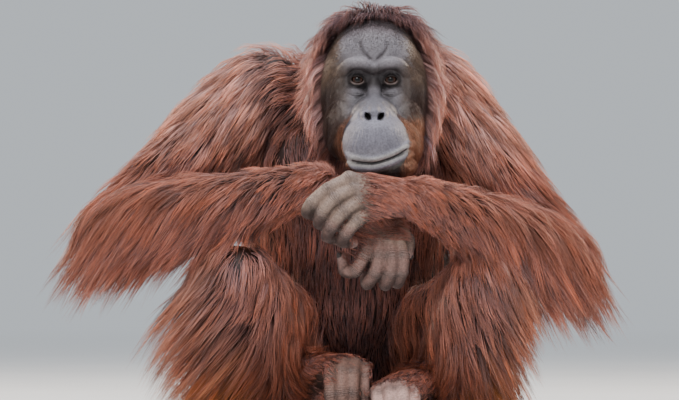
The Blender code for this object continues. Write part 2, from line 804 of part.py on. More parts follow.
def build_leg(side):
    """Thigh, shank and foot, fused, then parted at the knee and the ankle."""
    hip, knee, ankle = HIP[side], KNEE[side], ANKLE[side]
    sign = -1 if side == "right" else 1
    bm = bmesh.new()
    coat = UNDERCOAT
    tube(
        bm,
        [hip, hip.lerp(knee, 0.4), hip.lerp(knee, 0.8), knee],
        [0.064 + coat, 0.060 + coat, 0.048 + coat, 0.045 + coat],
    )
    tube(
        bm,
        [knee, knee.lerp(ankle, 0.35), knee.lerp(ankle, 0.75), ankle],
        [0.044 + coat, 0.042 + coat, 0.031 + coat * 0.7, 0.027 + coat * 0.2],
    )
    heel = ankle + Vector((0.012 * sign, 0.040, -0.026))
    ellipsoid(bm, heel, (0.026, 0.032, 0.031))
    roots = [seen(*TOES[side][toe][0]) for toe in ("toe_1", "toe_2", "toe_3", "toe_4")]
    for root in roots:
        middle = ankle.lerp(root, 0.55) + Vector((0.0, 0.0, 0.004))
        tube(bm, [ankle.lerp(heel, 0.3), middle, root], [0.0240, 0.0185, 0.0130], rings=8)
        middle = heel.lerp(root, 0.5) - Vector((0, 0, 0.006))
        tube(bm, [heel, middle, root], [0.0210, 0.0150, 0.0120], rings=8)
    hallux = seen(*TOES[side]["hallux"][0])
    tube(bm, [ankle.lerp(heel, 0.5), hallux], [0.020, 0.0135], rings=6)
    leg = fused("leg_" + side, bm, 0.0045, 8, 460)
    set_on_floor(leg)
    towards_hip = (hip - knee).normalized()
    towards_ankle = (ankle - knee).normalized()
    thigh, rest = parted(leg, "thigh_" + side, "rest_" + side, knee, towards_hip - towards_ankle)
    toes = sum(roots, Vector()) / len(roots)
    bisector = (knee - ankle).normalized() - (toes - ankle).normalized()
    shank, foot = parted(rest, "shank_" + side, "foot_" + side, ankle.lerp(knee, 0.06), bisector)
    return thigh, shank, foot


def build_bodies():
    """Every node without its locks, in the order in which each is cut clear of those before it."""
    eyes = [build_eye(-1, "eye_right"), build_eye(1, "eye_left")]
    torso = build_torso()
    head = build_head(eyes)
    cut_clear(head, [torso])
    nodes = {"eye_right": eyes[0], "eye_left": eyes[1], "torso": torso, "head": head}

    def add(obj):
        cut_clear(obj, list(nodes.values()))
        nodes[obj.name] = obj

    add(build_neck())
    for side, sign in (("right", -1), ("left", 1)):
        add(build_ear(sign, "ear_" + side))
    for side in ("left", "right"):
        upper, forearm, palm = build_arm(side)
        for piece in (upper, forearm, palm):
            add(piece)
        for finger in (*DIGITS, "thumb"):
            add(build_digit(side, finger, FINGERS[side], FINGER_RADII, f"finger_{finger}_{side}", 74))
    for side in ("left", "right"):
        thigh, shank, foot = build_leg(side)
        for piece in (thigh, shank, foot):
            add(piece)
        for toe in ("toe_1", "toe_2", "toe_3", "toe_4", "hallux"):
            digit = build_digit(side, toe, TOES[side], TOE_RADII, f"{toe}_{side}", 50)
            set_on_floor(digit)
            add(digit)
    return nodes


# Long coat


def height_over(tree, point):
    """Signed distance of a point from a surface, with the nearest place and its normal."""
    near, normal, _, away = tree.find_nearest(point)
    if away < 1e-7:
        return 0.0, near, normal
    outward = (point - near) / away
    if outward.dot(normal) < -0.95:
        return -away, near, normal
    return away, near, outward


def lay(start, normal, growth, length, own, others):
    """The bent middle line of a lock that starts in the skin and follows the lie over everything near."""
    count = len(LOCK_PROFILE)
    steps = 3 * count
    here = start + normal * 0.001
    line = [(start - normal * ROOT_DEPTH, normal)]
    out = normal
    heading = None
    for step in range(1, steps + 1):
        t = step / steps
        want = growth.lie(here).normalized()
        into = want.dot(out)
        if into < 0 or t < 0.3:
            want = (want - out * into * (1.0 - 0.3 * t)).normalized()
        heading = want if heading is None else (heading * 0.5 + want * 0.5).normalized()
        here = here + heading * (length / steps)
        lift = 0.001 + growth.lift * t * t
        height, near, facing = height_over(own, here)
        if height < lift:
            here = near + facing * lift
            out = out.lerp(facing, 0.7).normalized()
        elif height < 4 * growth.lift and t < growth.cling:
            here = here.lerp(near + facing * lift, 0.5)
            out = out.lerp(facing, 0.5).normalized()
        for other in others:
            height, near, facing = height_over(other, here)
            least = LOCK_CLEARANCE + LOCK_THICKNESS * (1.15 - 0.6 * t)
            if height < least:
                here = near + facing * least
                out = facing
        here.z = max(here.z, FLOOR_CLEARANCE + 0.004)
        if step % 3 == 0:
            line.append((here.copy(), out.copy()))
    return line


def blade(line, width, thickness):
    """A closed tapered lock along a line: two edges and a ridge at each bend, and a point at the tip."""
    bm = bmesh.new()
    loops = []
    tip = bm.verts.new(line[-1][0])
    for i, part in enumerate(LOCK_PROFILE):
        here, out = line[i]
        ahead = (line[i + 1][0] - line[max(i - 1, 0)][0]).normalized()
        across = ahead.cross(out).normalized()
        rise = across.cross(ahead).normalized()
        wide = across * (width * part / 2)
        high = rise * (thickness * part)
        loops.append([bm.verts.new(here - wide), bm.verts.new(here + high), bm.verts.new(here + wide)])
    for near, far in zip(loops, loops[1:]):
        for k in range(3):
            bm.faces.new((near[k], near[(k + 1) % 3], far[(k + 1) % 3], far[k]))
    bm.faces.new(loops[0][::-1])
    for k in range(3):
        bm.faces.new((loops[-1][k], loops[-1][(k + 1) % 3], tip))
    bmesh.ops.recalc_face_normals(bm, faces=bm.faces)
    bmesh.ops.triangulate(bm, faces=bm.faces)
    return bm


def bends_softly(line):
    """True if a lock has no sharp kink."""
    runs = [(b[0] - a[0]).normalized() for a, b in zip(line[1:], line[2:])]
    return all(a.dot(b) > LEAST_COSINE for a, b in zip(runs, runs[1:]))


def fits(bm, others):
    """True if a lock stays above the floor and clear of every other piece."""
    if min(v.co.z for v in bm.verts) < FLOOR_CLEARANCE:
        return False
    tree = BVHTree.FromBMesh(bm)
    places = [v.co for v in bm.verts]
    places += [e.verts[0].co.lerp(e.verts[1].co, part) for e in bm.edges for part in (0.25, 0.5, 0.75)]
    for other in others:
        if tree.overlap(other):
            return False
        for place in places:
            if height_over(other, place)[0] < LOCK_CLEARANCE * 0.75:
                return False
    return True


def candidates(obj, wanted, chance, count):
    """Places all over the outside of a piece, in a random order, each with its normal."""
    mesh = obj.data
    total = sum(polygon.area for polygon in mesh.polygons)
    found = []
    for polygon in mesh.polygons:
        corners = [mesh.vertices[i].co for i in polygon.vertices]
        share = polygon.area / total * count
        for _ in range(int(share) + (chance.random() < share % 1.0)):
            a, b = chance.random(), chance.random()
            if a + b > 1.0:
                a, b = 1.0 - a, 1.0 - b
            k = chance.randrange(1, len(corners) - 1)
            place = corners[0] + (corners[k] - corners[0]) * a + (corners[k + 1] - corners[0]) * b
            if wanted(place, polygon.normal):
                found.append((place, polygon.normal.copy()))
    chance.shuffle(found)
    return found


class Growth:
    """How the coat grows on one piece."""

    def __init__(self, most, spacing, length, width, lift, cling, wanted, lie, stretch=None):
        self.most = most
        self.spacing = spacing
        self.length = length
        self.width = width
        self.lift = lift
        self.cling = cling
        self.wanted = wanted
        self.lie = lie
        self.stretch = stretch or (lambda place: 1.0)


WHORL = face(0.0, 0.108, 0.092)


def from_whorl(place):
    """Hair of the head springs from the whorl, runs forward to the brow and falls down the sides."""
    away = (place - WHORL).normalized()
    side = 1.0 if place.x > EYES.x else -1.0
    hang = smoothstep((EYES.z + 0.070 - place.z) / 0.05)
    return (away + DOWN * 0.25).lerp(Vector((0.10 * side, 0.06, -1.0)), hang)


def visible_on_torso(place, normal):
    """Leaves out the underside and what the thighs cover."""
    behind_thigh = place.y < -0.02 and place.z < 0.20 and abs(place.x) > 0.075
    return place.z > 0.045 and normal.z > -0.75 and not behind_thigh


def growth_of(nodes):
    """The coat of each piece that carries long hair."""
    found = {}
    for side in ("right", "left"):
        shoulder, elbow, wrist, knee = SHOULDER[side], ELBOW[side], WRIST[side], KNEE[side]
        sign = -1.0 if side == "right" else 1.0

        def near_elbow(place, elbow=elbow):
            return smoothstep(1.0 - (place - elbow).length / 0.13)

        found["forearm_" + side] = Growth(
            15, 0.046, 0.105, 0.046, 0.011, 0.4,
            lambda p, n, w=wrist: (p - w).length > 0.040,
            lambda p, w=wrist, e=elbow, s=sign: (
                (e - w).normalized() * 0.45 + DOWN * 0.80 + Vector((0.14 * s, 0.03, 0))
            ),
            lambda p, f=near_elbow: 1.0 + 0.70 * f(p),
        )
        found["upper_arm_" + side] = Growth(
            15, 0.050, 0.130, 0.052, 0.011, 0.6,
            lambda p, n: True,
            lambda p, a=shoulder, e=elbow, s=sign: (
                (e - a).normalized() * 0.75 + DOWN * 0.45 + Vector((0.08 * s, 0, 0))
            ),
            lambda p, f=near_elbow: 1.0 + 0.20 * f(p),
        )
        found["thigh_" + side] = Growth(
            7, 0.058, 0.105, 0.052, 0.010, 0.5,
            lambda p, n, s=sign: p.z > 0.06 and n.x * s > -0.2,
            lambda p, s=sign: DOWN + Vector((0.22 * s, 0.20, 0)),
        )
        spread = 0.45 if side == "right" else 0.12
        found["shank_" + side] = Growth(
            13, 0.044, 0.135, 0.046, 0.011, 0.4,
            lambda p, n: p.z > 0.055,
            lambda p, k=knee, s=sign, o=spread: (
                DOWN + Vector((s * (o if (p.x - k.x) * s > -0.02 else 0.06), 0.02, 0))
            ),
            lambda p: 1.0 + 0.25 * smoothstep((p.z - 0.10) / 0.10),
        )
    found["torso"] = Growth(
        40, 0.068, 0.140, 0.064, 0.010, 0.9,
        visible_on_torso,
        lambda p: DOWN + Vector((0.0, 0.06 if p.y > 0.03 else 0.0, 0.0)),
    )
    found["head"] = Growth(
        24, 0.034, 0.084, 0.034, 0.004, 1.0,
        lambda p, n: p.y > EYES.y + 0.058 and p.z > EYES.z - 0.045,
        from_whorl,
        lambda p: 0.85 + 0.45 * smoothstep((EYES.z + 0.08 - p.z) / 0.06),
    )
    return found


def grow(obj, growth, own, others, chance, left_out):
    """A collection of locks that fit on a piece, without those whose numbers are left out."""
    locks = bpy.data.collections.new("locks_" + obj.name)
    roots = []
    for place, normal in candidates(obj, growth.wanted, chance, PLACES_TRIED):
        if len(roots) >= growth.most:
            break
        if any((place - root).length < growth.spacing for root in roots):
            continue
        size = growth.length * growth.stretch(place) * chance.uniform(0.86, 1.14)
        for share in LENGTH_SHARES:
            line = lay(place, normal, growth, size * share, own, others)
            if not bends_softly(line):
                continue
            part = 0.5 + 0.5 * share
            bm = blade(line, growth.width * part, LOCK_THICKNESS * part)
            if fits(bm, others):
                if len(roots) in left_out:
                    bm.free()
                else:
                    locks.objects.link(bpy.data.objects.new("lock", mesh_of("lock", bm)))
                roots.append(place)
                break
            bm.free()
    return locks


def part_all(nodes):
    """Eases every two pieces apart that still come too near each other."""
    pieces = list(nodes.values())
    for i, obj in enumerate(pieces):
        for other in pieces[i + 1 :]:
            if boxes_meet(obj, other) and not stands_clear(obj, other) and not eased(obj, other):
                eased(other, obj)


def even_out(nodes):
    """Gives the coated pieces an even surface under the locks, clear of every neighbour."""
    for name, (voxel, triangles) in SURFACES.items():
        obj = nodes[name]
        resurfaced(obj, voxel, triangles)
        for other in nodes.values():
            if other is not obj and boxes_meet(obj, other) and not stands_clear(obj, other):
                if not eased(obj, other) and not eased(other, obj):
                    cut_by(obj, other, swollen, GAP)
                    keep_largest(obj)
    part_all(nodes)


def dress(nodes):
    """Grows the locks of each coated piece and fuses them to it."""
    growths = growth_of(nodes)
    for name in ("eye_right", "eye_left", *LEFT_OUT):
        settle(nodes[name])
    trees = {name: tree_of(obj) for name, obj in nodes.items()}
    boxes = {name: bounds_of(obj) for name, obj in nodes.items()}
    for name, left_out in LEFT_OUT.items():
        obj, growth = nodes[name], growths[name]
        near = [n for n in nodes if n != name and reach_meets(boxes[name], boxes[n], growth.length)]
        chance = random.Random(f"{SEED} {name}")
        locks = grow(obj, growth, trees[name], [trees[n] for n in near], chance, left_out)
        boolean(obj, locks, "UNION", ("MANIFOLD", "EXACT"))
        for lock in list(locks.objects):
            bpy.data.objects.remove(lock)
        bpy.data.collections.remove(locks)
        keep_largest(obj)
        settle(obj)
        trees[name] = tree_of(obj)
        boxes[name] = bounds_of(obj)


def bounds_of(obj):
    """Lowest and highest corner of a piece."""
    points = np.array([v.co for v in obj.data.vertices])
    return points.min(0), points.max(0)


def reach_meets(first, second, margin):
    """True if two boxes come within a margin."""
    return bool((first[0] - margin < second[1]).all() and (second[0] - margin < first[1]).all())


def triangles_of(obj):
    """Triangle count of a piece."""
    return sum(len(f.vertices) - 2 for f in obj.data.polygons)


def finish_of(name):
    """The finish that a node's name calls for."""
    if name.startswith("eye"):
        return "eye"
    if name.startswith("ear"):
        return "ear"
    if name.startswith(("finger", "palm", "toe", "hallux", "foot")):
        return "hand"
    return "face" if name == "head" else "coat"


def main():
    """Builds the model."""
    clear_scene()
    nodes = build_bodies()
    even_out(nodes)
    dress(nodes)
    for name, obj in nodes.items():
        obj.data.materials.clear()
        obj.data.materials.append(material(name, finish_of(name)))
        obj.data.shade_smooth()


main()
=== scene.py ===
"""A life-size museum model of a sitting orangutan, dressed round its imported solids."""

import logging
import math
from dataclasses import dataclass
from enum import Enum, IntEnum
from typing import Callable, ClassVar, Iterable, Sequence

import bmesh
import bpy
import numpy as np
from mathutils import Matrix, Vector
from mathutils.bvhtree import BVHTree
from mathutils.kdtree import KDTree


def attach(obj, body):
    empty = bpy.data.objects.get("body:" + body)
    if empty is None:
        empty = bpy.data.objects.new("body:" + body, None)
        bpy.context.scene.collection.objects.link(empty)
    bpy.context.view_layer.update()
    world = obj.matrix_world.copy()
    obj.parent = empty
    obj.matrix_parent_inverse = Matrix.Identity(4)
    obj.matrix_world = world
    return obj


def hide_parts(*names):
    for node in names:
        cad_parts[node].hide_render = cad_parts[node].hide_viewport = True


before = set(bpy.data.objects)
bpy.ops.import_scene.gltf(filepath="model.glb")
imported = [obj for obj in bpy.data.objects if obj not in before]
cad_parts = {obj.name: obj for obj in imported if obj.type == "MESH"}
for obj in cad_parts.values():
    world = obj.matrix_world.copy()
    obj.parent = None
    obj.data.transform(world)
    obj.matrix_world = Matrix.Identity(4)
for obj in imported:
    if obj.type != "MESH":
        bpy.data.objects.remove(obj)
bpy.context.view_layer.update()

LOG = logging.getLogger("orangutan")
BODY = "root"
BAKE_MAP = "OFBake"
SEED = 11
FLOOR_LEVEL = 0.0015
LOWEST_GUIDE = 0.0035
LOWEST_HAIR = 0.0025
LOWEST_CORNER = 0.0012
TINY = 1e-9

Path = Sequence[Sequence[float]]
Rgb = tuple[int, int, int]
Place = tuple[float, float, float]


class Side(Enum):
    """The animal's own right and left; the value is the sign of X on that side."""

    RIGHT = -1
    LEFT = 1

    @property
    def word(self) -> str:
        """The side's name as nodes end in it."""
        return self.name.lower()

    def region(self, kind: str) -> "Region":
        """The region of a kind, such as FOREARM, on this side."""
        return Region[f"{kind}_{self.name}"]


class Region(Enum):
    """Parts of the body that carry a coat of their own."""

    TORSO = 0
    HEAD = 1
    UPPER_ARM_RIGHT = 2
    UPPER_ARM_LEFT = 3
    FOREARM_RIGHT = 4
    FOREARM_LEFT = 5
    THIGH_RIGHT = 6
    THIGH_LEFT = 7
    SHANK_RIGHT = 8
    SHANK_LEFT = 9
    HAND_RIGHT = 10
    HAND_LEFT = 11
    FOOT_RIGHT = 12
    FOOT_LEFT = 13

    @property
    def kind(self) -> str:
        """The region's name without its side."""
        return self.name.removesuffix("_RIGHT").removesuffix("_LEFT").lower()


class Part(IntEnum):
    """What each vertex of the skin belongs to, as it is stored on the skin."""

    BODY = 0
    HEAD = 1
    HAND = 2
    FOOT = 3


def srgb(red: int, green: int, blue: int) -> np.ndarray:
    """A screen colour, from 0 to 255 a channel, as linear light."""
    share = np.array([red, green, blue], float) / 255.0
    return np.where(share <= 0.04045, share / 12.92, ((share + 0.055) / 1.055) ** 2.4)


def smooth(value: np.ndarray | float, low: float, high: float) -> np.ndarray:
    """0 where value is at or below low, 1 at or above high, smooth between."""
    t = np.clip((np.asarray(value, float) - low) / (high - low), 0.0, 1.0)
    return t * t * (3.0 - 2.0 * t)


def mixed(first: np.ndarray, second: np.ndarray, share: np.ndarray) -> np.ndarray:
    """Colours between two, by a share for each point."""
    share = np.asarray(share)[:, None]
    return first * (1.0 - share) + second * share


def toned(colour: np.ndarray, tone: Rgb, share: np.ndarray) -> np.ndarray:
    """Colours passed into one screen colour, by a share for each point."""
    return mixed(colour, srgb(*tone), share)


def unit(rows: np.ndarray, least: float = TINY) -> np.ndarray:
    """Directions of length 1 along the last axis; least keeps one of no length from failing."""
    return rows / (np.linalg.norm(rows, axis=-1, keepdims=True) + least)


def nearness(points: np.ndarray, place: Sequence[float], near: float, far: float) -> np.ndarray:
    """1 where points lie nearer to a place than near, 0 beyond far, smooth between."""
    return 1.0 - smooth(np.linalg.norm(points - np.array(place), axis=1), near, far)


def curve_through(points: Path, count: int) -> np.ndarray:
    """Points along a smooth Catmull-Rom curve.

    Args:
        points: Rows of numbers that the curve passes through.
        count: How many rows come out.

    Returns:
        The rows, evenly spread between the given ones.
    """
    rows = np.array([list(p) for p in points], float)
    padded = np.vstack([2 * rows[0] - rows[1], rows, 2 * rows[-1] - rows[-2]])
    found = []
    for at in np.linspace(0.0, len(rows) - 1.0, count):
        i = min(int(at), len(rows) - 2)
        t = at - i
        a, b, c, d = padded[i : i + 4]
        bend = (2 * a - 5 * b + 4 * c - d) * t**2 + (3 * b - a - 3 * c + d) * t**3
        found.append(0.5 * (2 * b + (c - a) * t + bend))
    return np.array(found)


def distance_to_line(points: np.ndarray, line: np.ndarray) -> tuple[np.ndarray, np.ndarray]:
    """Measures points against a polyline.

    Args:
        points: Rows of places.
        line: Rows of the polyline's corners.

    Returns:
        How far each point lies from the line, and how far along it, from 0 to 1, its nearest place is.
    """
    away = np.full(len(points), 1e9)
    along = np.zeros(len(points))
    spans = len(line) - 1
    for i in range(spans):
        a, run = line[i], line[i + 1] - line[i]
        t = np.clip(((points - a) @ run) / (run @ run), 0.0, 1.0)
        near = np.linalg.norm(points - (a + t[:, None] * run), axis=1)
        closer = near < away
        away = np.where(closer, near, away)
        along = np.where(closer, (i + t) / spans, along)
    return away, along


# Sizes and places


@dataclass(frozen=True)
class View:
    """The photograph's frame: what a pixel stands for at the depth of the folded hands."""

    midline_column: float = 352.0
    floor_row: float = 428.0
    metres_per_pixel: float = 0.0014

    def point(self, column: float, row: float, depth: float) -> Vector:
        """The point at a column and row of the front view, at a depth along Y."""
        scale = self.metres_per_pixel
        return Vector(((column - self.midline_column) * scale, depth, (self.floor_row - row) * scale))


VIEW = View()


@dataclass(frozen=True)
class Limb:
    """The three joints of an arm or a leg."""

    root: Vector
    bend: Vector
    end: Vector


ARMS = {
    Side.RIGHT: Limb(Vector((-0.146, -0.050, 0.458)), Vector((-0.341, -0.150, 0.277)), Vector((-0.046, -0.262, 0.342))),
    Side.LEFT: Limb(Vector((0.120, -0.055, 0.464)), Vector((0.298, -0.145, 0.236)), Vector((0.092, -0.312, 0.322))),
}
LEGS = {
    Side.RIGHT: Limb(Vector((-0.085, 0.000, 0.095)), Vector((-0.164, -0.222, 0.208)), Vector((-0.082, -0.112, 0.058))),
    Side.LEFT: Limb(Vector((0.085, 0.000, 0.095)), Vector((0.192, -0.228, 0.196)), Vector((0.120, -0.135, 0.055))),
}
EYES = Vector((0.031, -0.245, 0.487))
NECK_BASE = Vector((0.004, -0.055, 0.455))
SKULL_BASE = Vector((0.028, -0.150, 0.455))


def face(x: float, y: float, z: float) -> Vector:
    """A point given from the middle between the eyes, forward being -Y."""
    return EYES + Vector((x, y, z))


# Mesh building


def object_of(name: str, mesh: bpy.types.Mesh) -> bpy.types.Object:
    """A linked object that shows a mesh."""
    made = bpy.data.objects.new(name, mesh)
    bpy.context.scene.collection.objects.link(made)
    return made


def apply_modifiers(obj: bpy.types.Object) -> None:
    """Puts the evaluated shape of an object into its mesh."""
    bpy.context.view_layer.update()
    graph = bpy.context.evaluated_depsgraph_get()
    old = obj.data
    obj.data = bpy.data.meshes.new_from_object(obj.evaluated_get(graph))
    obj.modifiers.clear()
    bpy.data.meshes.remove(old)


def read(data: bpy.types.bpy_prop_collection, key: str, width: int = 1, kind: type = float) -> np.ndarray:
    """What a collection holds under a key, in rows of width numbers, or as plain numbers if width is 1."""
    found = np.empty(len(data) * width, kind)
    data.foreach_get(key, found)
    return found.reshape(-1, width) if width > 1 else found


def points_of(mesh: bpy.types.Mesh) -> np.ndarray:
    """A mesh's vertices as rows."""
    return read(mesh.vertices, "co", 3)


def normals_of(mesh: bpy.types.Mesh) -> np.ndarray:
    """A mesh's vertex normals as rows."""
    return read(mesh.vertices, "normal", 3)


def set_points(mesh: bpy.types.Mesh, points: np.ndarray) -> None:
    """Moves a mesh's vertices to rows of points."""
    mesh.vertices.foreach_set("co", points.ravel())
    mesh.update()


def paint(mesh: bpy.types.Mesh, name: str, colours: np.ndarray) -> None:
    """Stores a linear colour for each vertex."""
    layer = mesh.color_attributes.new(name, "FLOAT_COLOR", "POINT")
    rows = np.ones((len(colours), 4), np.float32)
    rows[:, :3] = colours
    layer.data.foreach_set("color", rows.ravel())


def store(mesh: bpy.types.Mesh, name: str, values: np.ndarray) -> None:
    """Stores a number for each vertex."""
    layer = mesh.attributes.new(name, "FLOAT", "POINT")
    layer.data.foreach_set("value", np.asarray(values, np.float32))


def raise_to_floor(mesh: bpy.types.Mesh) -> np.ndarray:
    """Lifts what hangs under the floor's level up to it, and gives the points."""
    points = points_of(mesh)
    points[:, 2] = np.maximum(points[:, 2], FLOOR_LEVEL)
    set_points(mesh, points)
    return points


def shade_smooth(mesh: bpy.types.Mesh) -> None:
    """Shades every face of a mesh smooth."""
    mesh.polygons.foreach_set("use_smooth", np.ones(len(mesh.polygons), bool))


def thin(obj: bpy.types.Object, keep: float, covered: np.ndarray | None = None) -> None:
    """Keeps a share of an object's faces, fewest where it is flat.

    Args:
        obj: The object.
        keep: The share of its faces that stays.
        covered: Which vertices lie under hair, where all the thinning is done if it is given.
    """
    fewer = obj.modifiers.new("thin", "DECIMATE")
    fewer.ratio = keep
    if covered is not None:
        group = obj.vertex_groups.new(name="covered")
        group.add(np.flatnonzero(covered).tolist(), 1.0, "REPLACE")
        fewer.vertex_group = group.name
    apply_modifiers(obj)


class Forms:
    """Overlapping closed forms that one skin is drawn round."""

    END_ANGLES = (25, 50, 75)

    def __init__(self) -> None:
        """Starts without any form."""
        self.bm = bmesh.new()

    def ball(self, centre: Vector, radii: Sequence[float], tilt: Sequence[float] = (0, 0, 0), fine: int = 4) -> None:
        """Adds an ellipsoid.

        Args:
            centre: Its middle.
            radii: Its radii along X, Y and Z before it is turned.
            tilt: Degrees that it is turned about X, Y and Z, in that order.
            fine: How often the faces of its ball are divided.
        """
        turn = Matrix.Identity(4)
        for degrees, axis in zip(tilt, "XYZ"):
            turn = Matrix.Rotation(math.radians(degrees), 4, axis) @ turn
        place = Matrix.Translation(Vector(centre)) @ turn @ Matrix.Diagonal((*radii, 1.0))
        bmesh.ops.create_icosphere(self.bm, subdivisions=fine, radius=1.0, matrix=place)

    def tube(
        self,
        path: Path,
        widths: Sequence[float],
        depths: Sequence[float] | None = None,
        up: Sequence[float] = (0.0, -1.0, 0.0),
        rings: int = 24,
        sides: int = 24,
    ) -> None:
        """Adds a round-ended tube.

        Args:
            path: Places that its middle passes through.
            widths: Its radius across up at each place.
            depths: Its radius along up at each place, the same as across if it isn't given.
            up: The direction of the depths.
            rings: How many loops of faces it has, without its ends.
            sides: How many faces go round it.
        """
        depths = widths if depths is None else depths
        line = curve_through([list(p) + [w, d] for p, w, d in zip(path, widths, depths)], rings)
        centres, reach = line[:, :3], line[:, 3:]
        tangents = np.gradient(centres, axis=0)
        tangents /= np.linalg.norm(tangents, axis=1)[:, None]
        stations = list(zip(centres, tangents, reach))
        for end, sign in ((0, -1.0), (-1, 1.0)):
            for angle in self.END_ANGLES:
                turn = math.radians(angle)
                centre = centres[end] + tangents[end] * sign * reach[end].min() * math.sin(turn)
                station = (centre, tangents[end], reach[end] * math.cos(turn))
                if sign < 0:
                    stations.insert(0, station)
                else:
                    stations.append(station)
        loops = []
        for centre, tangent, (wide, deep) in stations:
            ahead = Vector(tangent)
            across = ahead.cross(Vector(up)).normalized()
            out = across.cross(ahead).normalized()
            turns = [2 * math.pi * k / sides for k in range(sides)]
            middle = Vector(centre)
            loops.append(
                [self.bm.verts.new(middle + across * wide * math.cos(a) + out * deep * math.sin(a)) for a in turns]
            )
        for near, far in zip(loops, loops[1:]):
            for k in range(sides):
                self.bm.faces.new((near[k], near[(k + 1) % sides], far[(k + 1) % sides], far[k]))
        self.bm.faces.new(loops[0][::-1])
        self.bm.faces.new(loops[-1])

    def mesh(self, name: str) -> bpy.types.Mesh:
        """The forms as one mesh of separate shells."""
        made = bpy.data.meshes.new(name)
        bmesh.ops.recalc_face_normals(self.bm, faces=self.bm.faces)
        self.bm.to_mesh(made)
        self.bm.free()
        return made

    def skinned(self, name: str, voxel: float, smoothing: int, keep: float = 1.0) -> bpy.types.Object:
        """One closed skin round all the forms.

        Args:
            name: The object's name.
            voxel: The size of the skin's squares in metres.
            smoothing: How many times the skin is smoothed.
            keep: The share of its faces that stays, fewest where it is flat.

        Returns:
            The linked object.
        """
        obj = object_of(name, self.mesh(name))
        remesh = obj.modifiers.new("fuse", "REMESH")
        remesh.mode = "VOXEL"
        remesh.voxel_size = voxel
        even = obj.modifiers.new("smooth", "SMOOTH")
        even.factor = 0.5
        even.iterations = smoothing
        apply_modifiers(obj)
        if keep < 1.0:
            thin(obj, keep)
        return obj


@dataclass
class Chisel:
    """Moves the points of a skin to model hollows, folds and lines."""

    points: np.ndarray

    def push(self, centre: Vector, reach: Sequence[float], move: Sequence[float]) -> None:
        """Moves the points within an ellipsoid, most at its middle.

        Args:
            centre: The ellipsoid's middle.
            reach: Its radii.
            move: How far its middle moves.
        """
        away = np.linalg.norm((self.points - np.array(centre)) / np.array(reach), axis=1)
        fade = 1.0 - smooth(away, 0.0, 1.0)
        self.points += fade[:, None] * np.array(move)

    def stroke(self, path: Path, width: float, move: Sequence[float], deepest: float) -> None:
        """Moves the points near a line drawn on the face, seen from the front.

        Args:
            path: Places that the line passes through; their depth isn't used.
            width: How far the move reaches to each side.
            move: How far the line's middle moves.
            deepest: Points further back than this stay.
        """
        line = curve_through(path, 24)
        line[:, 1] = 0.0
        flat = self.points.copy()
        flat[:, 1] = 0.0
        away, along = distance_to_line(flat, line)
        ends = smooth(along, 0.0, 0.12) * (1.0 - smooth(along, 0.88, 1.0))
        fade = np.exp(-((away / width) ** 2)) * ends * (self.points[:, 1] < deepest)
        self.points += fade[:, None] * np.array(move)


# Materials


